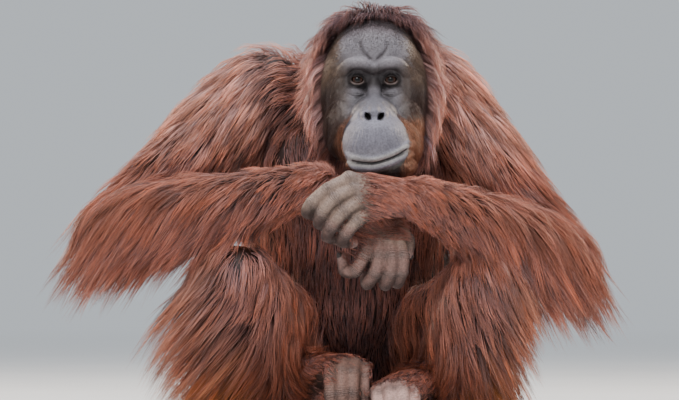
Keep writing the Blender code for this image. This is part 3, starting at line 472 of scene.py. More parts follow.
class Shader:
    """A Principled material that is built up node by node."""

    NOISE_ROUGHNESS = 0.55

    def __init__(self, name: str, roughness: float, specular: float = 0.5) -> None:
        """Starts a material with its own shader."""
        self.material = bpy.data.materials.new(name)
        self.material.use_nodes = True
        self.nodes = self.material.node_tree.nodes
        self.links = self.material.node_tree.links
        self.principled = self.nodes["Principled BSDF"]
        self.set("Roughness", roughness)
        self.set("Specular IOR Level", specular)

    def set(self, socket: str, value: float | Sequence[float]) -> None:
        """Sets one of the shader's own sockets."""
        self.principled.inputs[socket].default_value = value

    def link(self, output: bpy.types.NodeSocket, socket: str) -> None:
        """Leads a node's output to one of the shader's sockets."""
        self.links.new(output, self.principled.inputs[socket])

    def attribute(self, name: str, output: str = "Color") -> bpy.types.NodeSocket:
        """What is stored on the mesh under a name."""
        node = self.nodes.new("ShaderNodeAttribute")
        node.attribute_name = name
        return node.outputs[output]

    def coordinates(self) -> bpy.types.NodeSocket:
        """The place on the model, in metres."""
        return self.nodes.new("ShaderNodeTexCoord").outputs["Object"]

    def noise(self, scale: float, detail: float = 3.0) -> bpy.types.NodeSocket:
        """Noise over the model, from 0 to 1."""
        node = self.nodes.new("ShaderNodeTexNoise")
        node.inputs["Scale"].default_value = scale
        node.inputs["Detail"].default_value = detail
        node.inputs["Roughness"].default_value = self.NOISE_ROUGHNESS
        self.links.new(self.coordinates(), node.inputs["Vector"])
        return node.outputs["Fac"]

    def cells(self, scale: float) -> bpy.types.NodeSocket:
        """Distance from the edges of irregular cells, as the fine creases between patches of skin."""
        node = self.nodes.new("ShaderNodeTexVoronoi")
        node.feature = "DISTANCE_TO_EDGE"
        node.inputs["Scale"].default_value = scale
        self.links.new(self.coordinates(), node.inputs["Vector"])
        return node.outputs["Distance"]

    def math(
        self, kind: str, first: bpy.types.NodeSocket | float, second: bpy.types.NodeSocket | float = 0.0
    ) -> bpy.types.NodeSocket:
        """One sum.

        Args:
            kind: The sum's name in Blender, such as ADD.
            first: An output or a number.
            second: Another, where the sum takes two.

        Returns:
            The result.
        """
        node = self.nodes.new("ShaderNodeMath")
        node.operation = kind
        for socket, value in zip(node.inputs, (first, second)):
            if isinstance(value, bpy.types.NodeSocket):
                self.links.new(value, socket)
            else:
                socket.default_value = value
        return node.outputs["Value"]

    def spread(
        self, value: bpy.types.NodeSocket, low: float, high: float, to_low: float, to_high: float
    ) -> bpy.types.NodeSocket:
        """A number taken from the range low to high into the range to_low to to_high."""
        node = self.nodes.new("ShaderNodeMapRange")
        self.links.new(value, node.inputs["Value"])
        for name, number in zip(("From Min", "From Max", "To Min", "To Max"), (low, high, to_low, to_high)):
            node.inputs[name].default_value = number
        return node.outputs["Result"]

    def scaled(self, colour: bpy.types.NodeSocket, factor: bpy.types.NodeSocket) -> bpy.types.NodeSocket:
        """A colour made lighter or darker by a factor."""
        node = self.nodes.new("ShaderNodeVectorMath")
        node.operation = "SCALE"
        self.links.new(colour, node.inputs[0])
        self.links.new(factor, node.inputs["Scale"])
        return node.outputs["Vector"]

    def bump(self, heights: Iterable[tuple[bpy.types.NodeSocket, float]]) -> None:
        """Adds bumps of several sizes.

        Args:
            heights: For each bump what raises it, from 0 to 1, and its height in metres.
        """
        last = None
        for height, size in heights:
            node = self.nodes.new("ShaderNodeBump")
            node.inputs["Distance"].default_value = size
            self.links.new(height, node.inputs["Height"])
            if last is not None:
                self.links.new(last, node.inputs["Normal"])
            last = node.outputs["Normal"]
        self.links.new(last, self.principled.inputs["Normal"])


@dataclass(frozen=True)
class CoatFinish:
    """Hair: a soft sheen over the colours stored on each strand."""

    roughness: float = 0.44
    specular: float = 0.42
    sheen: float = 0.24
    mottle: float = 0.14

    def build(self) -> bpy.types.Material:
        """The hair's material."""
        shader = Shader("hair", self.roughness, self.specular)
        patches = shader.spread(shader.noise(16.0, 4.0), 0.3, 0.7, 1.0 - self.mottle, 1.0 + self.mottle)
        shader.link(shader.scaled(shader.attribute("Col"), patches), "Base Color")
        shader.set("Sheen Weight", self.sheen)
        shader.set("Sheen Roughness", 0.4)
        shader.set("Sheen Tint", (0.80, 0.72, 0.85, 1.0))
        return shader.material


@dataclass(frozen=True)
class SkinFinish:
    """Bare skin: fine creases with painted shade in them, pores and mottling over the colours stored on the skin."""

    roughness: float = 0.50
    pore_scale: float = 900.0
    crease_scale: float = 430.0
    pore_height: float = 0.00020
    crease_height: float = 0.00016
    fold_height: float = 0.00040
    fold_spacing: float = 0.0024
    specular: float = 0.42

    def build(self) -> bpy.types.Material:
        """The skin's material."""
        shader = Shader("skin", self.roughness, self.specular)
        speckle = shader.spread(shader.noise(330.0, 2.0), 0.32, 0.68, 0.76, 1.16)
        blotch = shader.spread(shader.noise(46.0, 4.0), 0.3, 0.7, 0.88, 1.12)
        creases = shader.spread(shader.cells(self.crease_scale), 0.0, 0.25, 0.0, 1.0)
        # painted shade: the colour is darkened by up to a tenth along the fine creases
        dark = shader.spread(creases, 0.0, 1.0, 0.90, 1.0)
        shade = shader.math("MULTIPLY", shader.math("MULTIPLY", speckle, blotch), dark)
        shader.link(shader.scaled(shader.attribute("Col"), shade), "Base Color")
        wander = shader.math("MULTIPLY", shader.noise(70.0, 3.0), 14.0)
        turns = shader.math("MULTIPLY", shader.attribute("run", "Fac"), 2 * math.pi / self.fold_spacing)
        ripple = shader.math("SINE", shader.math("ADD", turns, wander))
        folds = shader.math("MULTIPLY", ripple, shader.attribute("creased", "Fac"))
        pores = shader.noise(self.pore_scale, 2.0)
        shader.bump(((folds, self.fold_height), (creases, self.crease_height), (pores, self.pore_height)))
        return shader.material


@dataclass(frozen=True)
class EyeFinish:
    """A wet eyeball: dark white, brown iris and black pupil, by the angle from the gaze."""

    pupil: float = 0.22
    iris: float = 0.60
    roughness: float = 0.11
    specular: float = 0.32

    def build(self) -> bpy.types.Material:
        """The eye's material."""
        shader = Shader("eye", self.roughness, self.specular)
        ramp = shader.nodes.new("ShaderNodeValToRGB")
        stops = (
            (0.0, srgb(6, 5, 5)),
            (self.pupil, srgb(6, 5, 5)),
            (self.pupil + 0.06, srgb(36, 20, 14)),
            (self.iris - 0.08, srgb(66, 38, 26)),
            (self.iris, srgb(20, 12, 9)),
            (1.0, srgb(58, 40, 36)),
        )
        elements = ramp.color_ramp.elements
        while len(elements) < len(stops):
            elements.new(0.5)
        for element, (at, colour) in zip(elements, stops):
            element.position = at
            element.color = (*colour, 1.0)
        shader.links.new(shader.attribute("gaze", "Fac"), ramp.inputs["Fac"])
        fibres = shader.spread(shader.noise(900.0, 3.0), 0.3, 0.7, 0.7, 1.3)
        shader.link(shader.scaled(ramp.outputs["Color"], fibres), "Base Color")
        return shader.material


@dataclass(frozen=True)
class NailFinish:
    """Dark horn of varied tone with a fine bumpy grain."""

    roughness: float = 0.34
    horn: Rgb = (58, 46, 42)

    def build(self) -> bpy.types.Material:
        """The nails' material."""
        shader = Shader("nail", self.roughness)
        tone = shader.spread(shader.noise(260.0, 3.0), 0.3, 0.7, 0.7, 1.3)
        shader.link(shader.scaled(shader.attribute("Col"), tone), "Base Color")
        shader.bump(((shader.noise(900.0, 2.0), 0.0002),))
        return shader.material


@dataclass(frozen=True)
class Backdrop:
    """The even light behind everything."""

    colour: tuple[float, float, float, float] = (0.80, 0.86, 0.92, 1.0)
    strength: float = 0.70


BACKDROP = Backdrop()


@dataclass(frozen=True)
class FloorFinish:
    """A matt pale floor with a faint unevenness that passes into the backdrop far away."""

    roughness: float = 0.85
    fades_from: float = 1.2
    fades_to: float = 6.0
    specular: float = 0.2

    def build(self) -> bpy.types.Material:
        """The floor's material."""
        shader = Shader("floor", self.roughness, self.specular)
        tone = shader.spread(shader.noise(3.0, 5.0), 0.3, 0.7, 0.66, 0.70)
        mix = shader.nodes.new("ShaderNodeCombineColor")
        for channel in ("Red", "Green", "Blue"):
            shader.links.new(tone, mix.inputs[channel])
        shader.link(mix.outputs["Color"], "Base Color")
        length = shader.nodes.new("ShaderNodeVectorMath")
        length.operation = "LENGTH"
        shader.links.new(shader.coordinates(), length.inputs[0])
        glow = shader.nodes.new("ShaderNodeEmission")
        glow.inputs["Color"].default_value = BACKDROP.colour
        glow.inputs["Strength"].default_value = BACKDROP.strength
        blend = shader.nodes.new("ShaderNodeMixShader")
        far = shader.spread(length.outputs["Value"], self.fades_from, self.fades_to, 0.0, 1.0)
        shader.links.new(far, blend.inputs[0])
        shader.links.new(shader.principled.outputs[0], blend.inputs[1])
        shader.links.new(glow.outputs[0], blend.inputs[2])
        shader.links.new(blend.outputs[0], shader.nodes["Material Output"].inputs["Surface"])
        return shader.material


# Body


@dataclass(frozen=True)
class BodySizes:
    """Flesh sizes of the trunk and limbs, in metres, without any coat."""

    spine: tuple[tuple[float, ...], ...] = (
        # x, y, z, half width, half depth
        (0.000, 0.040, 0.062, 0.112, 0.092),
        (0.000, 0.042, 0.120, 0.134, 0.116),
        (0.000, 0.034, 0.210, 0.140, 0.132),
        (0.000, 0.018, 0.310, 0.140, 0.126),
        (0.000, -0.008, 0.400, 0.142, 0.108),
        (0.003, -0.032, 0.455, 0.100, 0.080),
    )
    upper_arm: tuple[float, ...] = (0.052, 0.056, 0.051, 0.043, 0.040)
    forearm: tuple[float, ...] = (0.041, 0.043, 0.034, 0.026, 0.0245)
    thigh: tuple[float, ...] = (0.064, 0.060, 0.049, 0.049)
    shank: tuple[float, ...] = (0.048, 0.043, 0.031, 0.027)
    voxel: float = 0.0065
    keep: float = 0.22


BODY_SIZES = BodySizes()


def arm_lines(side: Side) -> tuple[np.ndarray, np.ndarray]:
    """The middle lines of an upper arm and a forearm."""
    arm = ARMS[side]
    return np.array([arm.root, arm.bend]), np.array([arm.bend, arm.end])


def leg_lines(side: Side) -> tuple[np.ndarray, np.ndarray]:
    """The middle lines of a thigh and a shank."""
    leg = LEGS[side]
    return np.array([leg.root, leg.bend]), np.array([leg.bend, leg.end])


@dataclass
class Torso:
    """Trunk, neck, limbs and the covered part of the skull, under the long coat."""

    sizes: BodySizes

    def build(self) -> bpy.types.Object:
        """The covered skin as one closed surface that doesn't go under the floor's level."""
        forms = Forms()
        self.add_trunk(forms)
        self.add_neck(forms)
        for side in Side:
            self.add_arm(forms, side)
            self.add_leg(forms, side)
        body = forms.skinned("skin_body", self.sizes.voxel, 5, self.sizes.keep)
        raise_to_floor(body.data)
        return body

    def add_trunk(self, forms: Forms) -> None:
        """Back, belly, breasts, shoulder girdle and buttocks."""
        rows = self.sizes.spine
        forms.tube([r[:3] for r in rows], [r[3] for r in rows], [r[4] for r in rows], rings=30, sides=32)
        forms.ball(Vector((0.0, 0.022, 0.425)), (0.130, 0.076, 0.080))
        forms.ball(Vector((0.0, -0.030, 0.190)), (0.100, 0.088, 0.100))
        for side in Side:
            sign = side.value
            forms.ball(Vector((0.112 * sign, -0.034, 0.452)), (0.058, 0.058, 0.055))
            forms.ball(Vector((0.060 * sign, -0.088, 0.372)), (0.060, 0.034, 0.052))
            forms.ball(Vector((0.066 * sign, 0.048, 0.060)), (0.074, 0.080, 0.056))

    def add_neck(self, forms: Forms) -> None:
        """Neck, throat sac and the skull inside the face's skin."""
        forms.tube([NECK_BASE, (0.016, -0.105, 0.462), SKULL_BASE], [0.070, 0.062, 0.056])
        forms.ball(Vector((0.018, -0.120, 0.405)), (0.052, 0.050, 0.050))
        forms.ball(Vector((0.010, -0.060, 0.475)), (0.072, 0.060, 0.055))
        forms.ball(face(0, 0.087, 0.022), (0.0665, 0.0720, 0.0695))
        forms.ball(face(0, 0.100, 0.010), (0.062, 0.060, 0.062))

    def add_arm(self, forms: Forms, side: Side) -> None:
        """Upper arm and forearm down to the wrist."""
        arm = ARMS[side]
        inner = arm.root + (arm.root - arm.bend) * 0.12
        upper = [inner, arm.root, arm.root.lerp(arm.bend, 0.35), arm.root.lerp(arm.bend, 0.7), arm.bend]
        forms.tube(upper, self.sizes.upper_arm)
        lower = [arm.bend.lerp(arm.end, share) for share in (0.0, 0.3, 0.65, 0.92, 1.0)]
        forms.tube(lower, self.sizes.forearm, up=(0, -1, 0.4))

    def add_leg(self, forms: Forms, side: Side) -> None:
        """Thigh and shank down to the ankle."""
        leg = LEGS[side]
        forms.tube([leg.root.lerp(leg.bend, share) for share in (0.0, 0.4, 0.8, 1.0)], self.sizes.thigh)
        forms.tube([leg.bend.lerp(leg.end, share) for share in (0.0, 0.35, 0.75, 1.0)], self.sizes.shank)


# Head


@dataclass(frozen=True)
class HeadSizes:
    """Sizes of the face, from the middle between the eyes."""

    eye_spacing: float = 0.0236
    eye_depth: float = 0.0125
    eye_radius: float = 0.0108
    voxel: float = 0.0014
    keep: float = 0.66
    covered_from: float = 0.046
    closed_at: float = 0.098
    mouth: tuple[tuple[float, float], ...] = (
        # x, z
        (-0.0310, -0.1130),
        (-0.0150, -0.1158),
        (0.0000, -0.1160),
        (0.0180, -0.1110),
        (0.0320, -0.1050),
        (0.0450, -0.0970),
    )


HEAD_SIZES = HeadSizes()


@dataclass
class Head:
    """The bare and short-haired face: brow, lids, nose, muzzle, lips, cheeks and ears."""

    sizes: HeadSizes

    LINES: ClassVar[tuple[tuple, ...]] = (
        # three places (x and z) on the left side, shift of the first one along X, width, depth, reach to the back
        (((0.0345, 0.0035), (0.0236, 0.0098), (0.0130, 0.0045)), 0.0, 0.0012, 0.0022, 0.02),  # over the lid
        (((0.0350, -0.0065), (0.0236, -0.0105), (0.0125, -0.0070)), 0.0, 0.0012, 0.0018, 0.02),  # under the lid
        (((0.0400, -0.0170), (0.0250, -0.0245), (0.0120, -0.0200)), 0.0, 0.0018, 0.0022, 0.02),  # under the bag
        (((0.0120, -0.0300), (0.0230, -0.0420), (0.0330, -0.0560)), 0.0, 0.0026, 0.0026, 0.02),  # cheek
        (((0.0190, 0.0560), (0.0150, 0.0400), (0.0030, 0.0270)), -0.001, 0.0020, 0.0020, 0.05),  # frown
        (((0.0070, 0.0230), (0.0060, 0.0130), (0.0078, 0.0040)), 0.0, 0.0014, 0.0014, 0.03),  # beside the bridge
        (((0.0200, -0.0430), (0.0205, -0.0520), (0.0150, -0.0590)), 0.0, 0.0016, 0.0018, -0.01),  # nostril
    )

    def muzzle_front(self, x: float, z: float) -> float:
        """How far forward the muzzle reaches at a place of the face."""
        left = 1.0 - ((x - 0.004) / 0.0520) ** 2 - ((z + 0.090) / 0.045) ** 2
        return -0.026 - 0.050 * math.sqrt(max(left, 0.0))

    def add_skull(self, forms: Forms) -> None:
        """Forehead, cheeks, brow and the balls of the lids."""
        forms.ball(face(0, 0.078, 0.022), (0.067, 0.076, 0.069))
        forms.ball(face(0, 0.038, 0.030), (0.060, 0.042, 0.048))
        for side in Side:
            s = side.value
            forms.ball(face(0.046 * s, 0.050, -0.022), (0.0275, 0.044, 0.074), tilt=(4, 0, 0))
            forms.ball(face(0.041 * s, 0.030, -0.062), (0.0280, 0.042, 0.048))
            forms.ball(face(0.028 * s, 0.016, -0.034), (0.0240, 0.0235, 0.0250))
            brow = [(0.048, 0.014, 0.008), (0.036, 0.001, 0.021), (0.018, -0.004, 0.023), (0.002, -0.001, 0.016)]
            forms.tube([face(x * s, y, z) for x, y, z in brow], [0.0075, 0.0088, 0.0085, 0.0078])
            forms.ball(face(self.sizes.eye_spacing * s, self.sizes.eye_depth, 0), (0.0150, 0.0128, 0.0128))
            bag = [(0.037, 0.009, -0.0135), (0.024, 0.002, -0.0190), (0.013, 0.006, -0.0215)]
            forms.tube([face(x * s, y, z) for x, y, z in bag], [0.0062, 0.0070, 0.0050])

    def add_muzzle(self, forms: Forms) -> None:
        """Nose, muzzle, lips, chin and jaw."""
        bridge = [(0, 0.012, 0.006), (0, 0.002, -0.018), (0, -0.022, -0.036), (0, -0.0475, -0.0470)]
        forms.tube([face(*p) for p in bridge], [0.0080, 0.0098, 0.0115, 0.0085])
        for side in Side:
            forms.ball(face(0.0108 * side.value, -0.0440, -0.0495), (0.0082, 0.0090, 0.0068))
        forms.ball(face(0.000, -0.004, -0.058), (0.036, 0.046, 0.036))
        forms.ball(face(0.004, -0.026, -0.090), (0.0490, 0.050, 0.045))
        mouth = [(-0.0385, -0.1085), *self.sizes.mouth, (0.0500, -0.0935)]
        upper = [(x, self.muzzle_front(x, z + 0.006) + 0.0050, z + 0.006) for x, z in mouth]
        forms.tube([face(*p) for p in upper], [0.0030, 0.0058, 0.0074, 0.0078, 0.0076, 0.0072, 0.0060, 0.0034])
        lower = [(x * 0.96 + 0.001, self.muzzle_front(x, z) + 0.0080, z - 0.0070) for x, z in mouth]
        forms.tube([face(*p) for p in lower], [0.0030, 0.0056, 0.0080, 0.0088, 0.0086, 0.0078, 0.0060, 0.0034])
        forms.ball(face(0.017, -0.026, -0.119), (0.039, 0.0385, 0.0215))
        forms.ball(face(0.010, 0.020, -0.098), (0.050, 0.056, 0.037))
        forms.ball(face(0.022, 0.008, -0.090), (0.0445, 0.049, 0.0450))

    def add_ears(self, forms: Forms) -> None:
        """Small round ears with a rolled rim."""
        for side in Side:
            s = side.value
            rim = []
            for k in range(9):
                turn = math.radians(-60 + 300 * k / 8)
                out, ahead, up = 0.0830 + 0.0015 * math.sin(turn), math.cos(turn), math.sin(turn)
                rim.append(face(out * s, 0.080 - 0.0105 * ahead, -0.006 + 0.0150 * up))
            forms.tube(rim, [0.0030] * len(rim), up=(s, 0, 0), sides=12)
            forms.ball(face(0.0785 * s, 0.082, -0.006), (0.0050, 0.0130, 0.0175), tilt=(8, 0, -14 * s))

    def carve(self, points: np.ndarray) -> None:
        """Hollows of the eyes, folds of the lids and brow, the mouth and the lines of age."""
        chisel = Chisel(points)
        front = EYES.y
        for side in Side:
            s = side.value
            chisel.push(face(0.0110 * s, -0.002, 0.004), (0.010, 0.014, 0.014), (0, 0.0035, 0))
            chisel.push(face(0.039 * s, 0.002, -0.004), (0.010, 0.016, 0.014), (0, 0.0040, 0))
            for places, shift, width, depth, reach in self.LINES:
                line = [face(x * s + shift * (k == 0), 0, z) for k, (x, z) in enumerate(places)]
                chisel.stroke(line, width, (0, depth, 0), front + reach)
        line = [face(x, 0, z - 0.0005) for x, z in self.sizes.mouth]
        chisel.stroke(line, 0.0016, (0, 0.0075, 0), front - 0.024)
        rim = [face(x, 0, z + 0.0052) for x, z in self.sizes.mouth]
        chisel.stroke(rim, 0.0022, (0, -0.0012, 0.0), front - 0.024)
        below = [face(x * 0.94 + 0.001, 0, z - 0.0130) for x, z in self.sizes.mouth]
        chisel.stroke(below, 0.0022, (0, 0.0030, 0), front - 0.020)
        for k in range(-5, 6):
            x = 0.0062 * k + 0.002
            top = face(x * 0.75, 0, -0.066 - abs(k) * 0.0008)
            end = face(x * 1.1, 0, -0.103 + 0.0011 * max(0, k))
            chisel.stroke([top, (top + end) / 2, end], 0.0009, (0, 0.0007, 0), front - 0.02)

    def build(self) -> bpy.types.Object:
        """The face's skin, closed behind where the body's skull takes over."""
        forms = Forms()
        self.add_skull(forms)
        self.add_muzzle(forms)
        self.add_ears(forms)
        head = forms.skinned("skin_head", self.sizes.voxel, 5)
        points = points_of(head.data)
        self.carve(points)
        set_points(head.data, points)
        thin(head, self.sizes.keep, points[:, 1] > EYES.y + self.sizes.covered_from)
        self.open_face(head)
        self.close_behind(head)
        return head

    def open_face(self, head: bpy.types.Object) -> None:
        """Cuts the openings between the lids and the nostrils."""
        forms = Forms()
        for side in Side:
            s = side.value
            window = face(self.sizes.eye_spacing * s, self.sizes.eye_depth - 0.012, 0.0006)
            forms.ball(window, (0.0088, 0.0150, 0.0048), tilt=(0, -6 * s, 0))
            nostril = face(0.0090 * s, -0.0530, -0.0515)
            forms.ball(nostril, (0.0034, 0.0120, 0.0058), tilt=(25, 40 * s, 0))
        cutter = object_of("openings", forms.mesh("openings"))
        cut = head.modifiers.new("openings", "BOOLEAN")
        cut.operation = "DIFFERENCE"
        cut.solver = "MANIFOLD"
        cut.object = cutter
        apply_modifiers(head)
        bpy.data.objects.remove(cutter)

    def close_behind(self, head: bpy.types.Object) -> None:
        """Cuts the skin off inside the long hair and closes it with a flat face."""
        bm = bmesh.new()
        bm.from_mesh(head.data)
        everything = bm.verts[:] + bm.edges[:] + bm.faces[:]
        place = face(0, self.sizes.closed_at, 0)
        cut = bmesh.ops.bisect_plane(bm, geom=everything, plane_co=place, plane_no=(0, 1, 0), clear_outer=True)
        rim = [item for item in cut["geom_cut"] if isinstance(item, bmesh.types.BMEdge)]
        bmesh.ops.holes_fill(bm, edges=rim, sides=0)
        bm.to_mesh(head.data)
        bm.free()


@dataclass
class Eye:
    """One eyeball whose cornea stands out a little."""

    side: Side
    sizes: HeadSizes

    def build(self) -> bpy.types.Object:
        """The eyeball, with the angle from its gaze stored for the finish."""
        bm = bmesh.new()
        bmesh.ops.create_uvsphere(bm, u_segments=48, v_segments=40, radius=1.0)
        gaze = Vector((-0.05 * self.side.value, -1.0, 0.10)).normalized()
        turn = gaze.to_track_quat("Z", "Y").to_matrix().to_4x4()
        bmesh.ops.transform(bm, matrix=turn, verts=bm.verts)
        mesh = bpy.data.meshes.new(f"eyeball_{self.side.word}")
        bm.to_mesh(mesh)
        bm.free()
        ball = points_of(mesh)
        angle = np.arccos(np.clip(ball @ np.array(gaze), -1.0, 1.0))
        cornea = 1.0 + 0.07 * (1.0 - smooth(angle, 0.0, 0.75))
        centre = np.array(face(self.sizes.eye_spacing * self.side.value, self.sizes.eye_depth, 0))
        set_points(mesh, centre + ball * cornea[:, None] * self.sizes.eye_radius)
        store(mesh, "gaze", np.clip(angle / 1.15, 0.0, 1.0))
        shade_smooth(mesh)
        return object_of(f"eyeball_{self.side.word}", mesh)


# Hands and feet


DIGITS = ("index", "middle", "ring", "little")
FINGERS = {
    Side.LEFT: {
        "index": [(349, 180, -0.334), (328, 190, -0.343), (313, 203, -0.342), (308, 212, -0.328), (318, 217, -0.312)],
        "middle": [(352, 191, -0.339), (336, 199, -0.349), (323, 213, -0.346), (320, 223, -0.330), (330, 228, -0.313)],
        "ring": [(358, 203, -0.339), (344, 212, -0.350), (332, 226, -0.347), (328, 236, -0.331), (338, 240, -0.314)],
        "little": [(369, 212, -0.334), (357, 221, -0.344), (346, 233, -0.342), (343, 241, -0.327), (353, 243, -0.312)],
        "thumb": [(404, 194, -0.296), (389, 189, -0.289), (373, 187, -0.289)],
    },
    Side.RIGHT: {
        "little": [(370, 238, -0.294), (364, 256, -0.309), (355, 270, -0.309), (345, 270, -0.302), (342, 257, -0.298)],
        "ring": [(379, 241, -0.299), (379, 256, -0.313), (375, 272, -0.312), (367, 283, -0.299), (365, 276, -0.284)],
        "middle": [(389, 241, -0.299), (391, 256, -0.314), (390, 272, -0.313), (385, 284, -0.300), (384, 277, -0.284)],
        "index": [(397, 239, -0.294), (402, 256, -0.308), (401, 271, -0.307), (397, 282, -0.294), (398, 275, -0.279)],
        "thumb": [(396, 226, -0.268), (408, 240, -0.262), (408, 254, -0.262)],
    },
}
TOES = {
    Side.RIGHT: {
        "toe_1": [(334, 369, -0.226), (331, 376, -0.247), (331, 394, -0.255), (333, 410, -0.246), (336, 417, -0.228)],
        "toe_2": [(344, 366, -0.232), (342, 373, -0.255), (342, 392, -0.263), (344, 410, -0.255), (347, 418, -0.236)],
        "toe_3": [(354, 366, -0.230), (353, 374, -0.253), (353, 393, -0.260), (354, 410, -0.252), (355, 417, -0.233)],
        "toe_4": [(363, 371, -0.224), (363, 379, -0.243), (363, 396, -0.248), (363, 411, -0.240), (362, 417, -0.223)],
        "hallux": [(327, 398, -0.180), (322, 409, -0.204), (321, 417, -0.224)],
    },
    Side.LEFT: {
        "toe_1": [(411, 391, -0.262), (413, 395, -0.284), (413, 407, -0.296), (410, 417, -0.286), (407, 420, -0.268)],
        "toe_2": [(400, 388, -0.268), (402, 391, -0.292), (402, 405, -0.304), (400, 416, -0.295), (398, 420, -0.277)],
        "toe_3": [(389, 389, -0.268), (390, 392, -0.292), (390, 406, -0.305), (389, 416, -0.297), (389, 420, -0.279)],
        "toe_4": [(378, 393, -0.262), (378, 396, -0.284), (378, 408, -0.298), (379, 417, -0.291), (380, 420, -0.274)],
        "hallux": [(420, 405, -0.212), (425, 412, -0.238), (426, 418, -0.258)],
    },
}
KNUCKLES, TOE_ROOTS = (
    {
        side: {name: line[0] for name, line in table[side].items() if name not in ("thumb", "hallux")}
        for side in Side
    }
    for table in (FINGERS, TOES)
)


@dataclass(frozen=True)
class DigitSizes:
    """Radii along a digit, from its root to its tip."""

    finger: tuple[float, ...] = (0.0108, 0.0099, 0.0098, 0.0090, 0.0074)
    toe: tuple[float, ...] = (0.0110, 0.0104, 0.0098, 0.0090, 0.0076)
    voxel: float = 0.0017
    keep_finger: float = 0.36
    keep_toe: float = 0.24
    joint_swell: float = 0.0008


@dataclass
class Digits:
    """The hands and feet of the animal: palms, soles, fingers and toes."""

    sizes: DigitSizes

    def line(self, points: Path) -> np.ndarray:
        """A digit's middle line."""
        return curve_through([VIEW.point(*p) for p in points], 28)

    def add_digit(self, forms: Forms, points: Path, radii: Sequence[float]) -> None:
        """Adds a finger or toe, a little thicker at each joint."""
        sizes = radii[-len(points) :] if len(points) < len(radii) else radii
        forms.tube([VIEW.point(*p) for p in points], sizes, rings=26, sides=18)
        for point, radius in list(zip(points, sizes))[1:-1]:
            forms.ball(VIEW.point(*point), [radius + self.sizes.joint_swell] * 3, fine=3)

    def hand(self, side: Side) -> bpy.types.Object:
        """One hand from the wrist to the finger tips."""
        wrist = ARMS[side].end
        forms = Forms()
        forms.ball(wrist, (0.0250, 0.0240, 0.0240))
        for finger in DIGITS:
            knuckle = VIEW.point(*KNUCKLES[side][finger])
            start = wrist.lerp(knuckle, 0.06)
            forms.tube([start, start.lerp(knuckle, 0.5), knuckle], [0.0185, 0.0150, 0.0118], rings=16)
            forms.ball(knuckle + Vector((0, -0.0008, 0.0008)), [0.0122] * 3, fine=3)
        thumb_root = VIEW.point(*FINGERS[side]["thumb"][0])
        forms.tube([wrist, wrist.lerp(thumb_root, 0.6), thumb_root], [0.018, 0.014, 0.0115], rings=12)
        for finger in (*DIGITS, "thumb"):
            self.add_digit(forms, FINGERS[side][finger], self.sizes.finger)
        return forms.skinned(f"skin_hand_{side.word}", self.sizes.voxel, 3, self.sizes.keep_finger)

    def foot(self, side: Side) -> bpy.types.Object:
        """One foot from the ankle to the toe tips."""
        ankle = LEGS[side].end
        forms = Forms()
        heel = ankle + Vector((0.012 * side.value, 0.040, -0.026))
        forms.ball(heel, (0.026, 0.032, 0.031))
        forms.tube([LEGS[side].bend.lerp(ankle, 0.8), ankle], [0.029, 0.027], rings=8)
        for place in TOE_ROOTS[side].values():
            root = VIEW.point(*place)
            middle = ankle.lerp(root, 0.55) + Vector((0.0, 0.0, 0.004))
            forms.tube([ankle.lerp(heel, 0.3), middle, root], [0.0240, 0.0185, 0.0130], rings=16)
            sole = heel.lerp(root, 0.5) - Vector((0, 0, 0.006))
            forms.tube([heel, sole, root], [0.0210, 0.0150, 0.0120], rings=16)
        hallux = VIEW.point(*TOES[side]["hallux"][0])
        forms.tube([ankle.lerp(heel, 0.5), hallux], [0.020, 0.0135], rings=8)
        for line in TOES[side].values():
            self.add_digit(forms, line, self.sizes.toe)
        foot = forms.skinned(f"skin_foot_{side.word}", self.sizes.voxel * 1.3, 3, self.sizes.keep_toe)
        raise_to_floor(foot.data)
        return foot

    def joints(self) -> list[tuple[np.ndarray, np.ndarray, bool]]:
        """Each finger's and toe's middle line, the places of its joints along it, and whether it is a finger."""
        found = []
        for side in Side:
            for table, is_finger in ((FINGERS, True), (TOES, False)):
                for points in table[side].values():
                    count = len(points) - 1
                    places = np.array([k / count for k in range(count)])
                    found.append((self.line(points), places, is_finger))
        return found


@dataclass
class Nails:
    """A curved nail on the back of each digit's tip."""

    digits: Digits

    def build(self) -> bpy.types.Object:
        """All the nails as one piece of closed plates."""
        forms = Forms()
        for line, _, is_finger in self.digits.joints():
            radius = self.digits.sizes.finger[-1] if is_finger else self.digits.sizes.toe[-1]
            tip = Vector(line[-1])
            ahead = (Vector(line[-1]) - Vector(line[-4])).normalized()
            bend = Vector(line[len(line) // 2]) - tip.lerp(Vector(line[0]), 0.5)
            back = (bend - ahead * bend.dot(ahead)).normalized()
            across = ahead.cross(back).normalized()
            place = tip + back * (radius * 0.62) + ahead * (radius * 0.30)
            turn = Matrix((across, ahead, back)).transposed().to_4x4()
            plate = Matrix.Diagonal((radius * 0.66, radius * 0.80, radius * 0.44, 1.0))
            shape = Matrix.Translation(place) @ turn @ plate
            bmesh.ops.create_icosphere(forms.bm, subdivisions=3, radius=1.0, matrix=shape)
        mesh = forms.mesh("nails")
        points = raise_to_floor(mesh)
        paint(mesh, "Col", np.tile(srgb(*NailFinish.horn), (len(points), 1)))
        shade_smooth(mesh)
        return object_of("nails", mesh)


# Skin


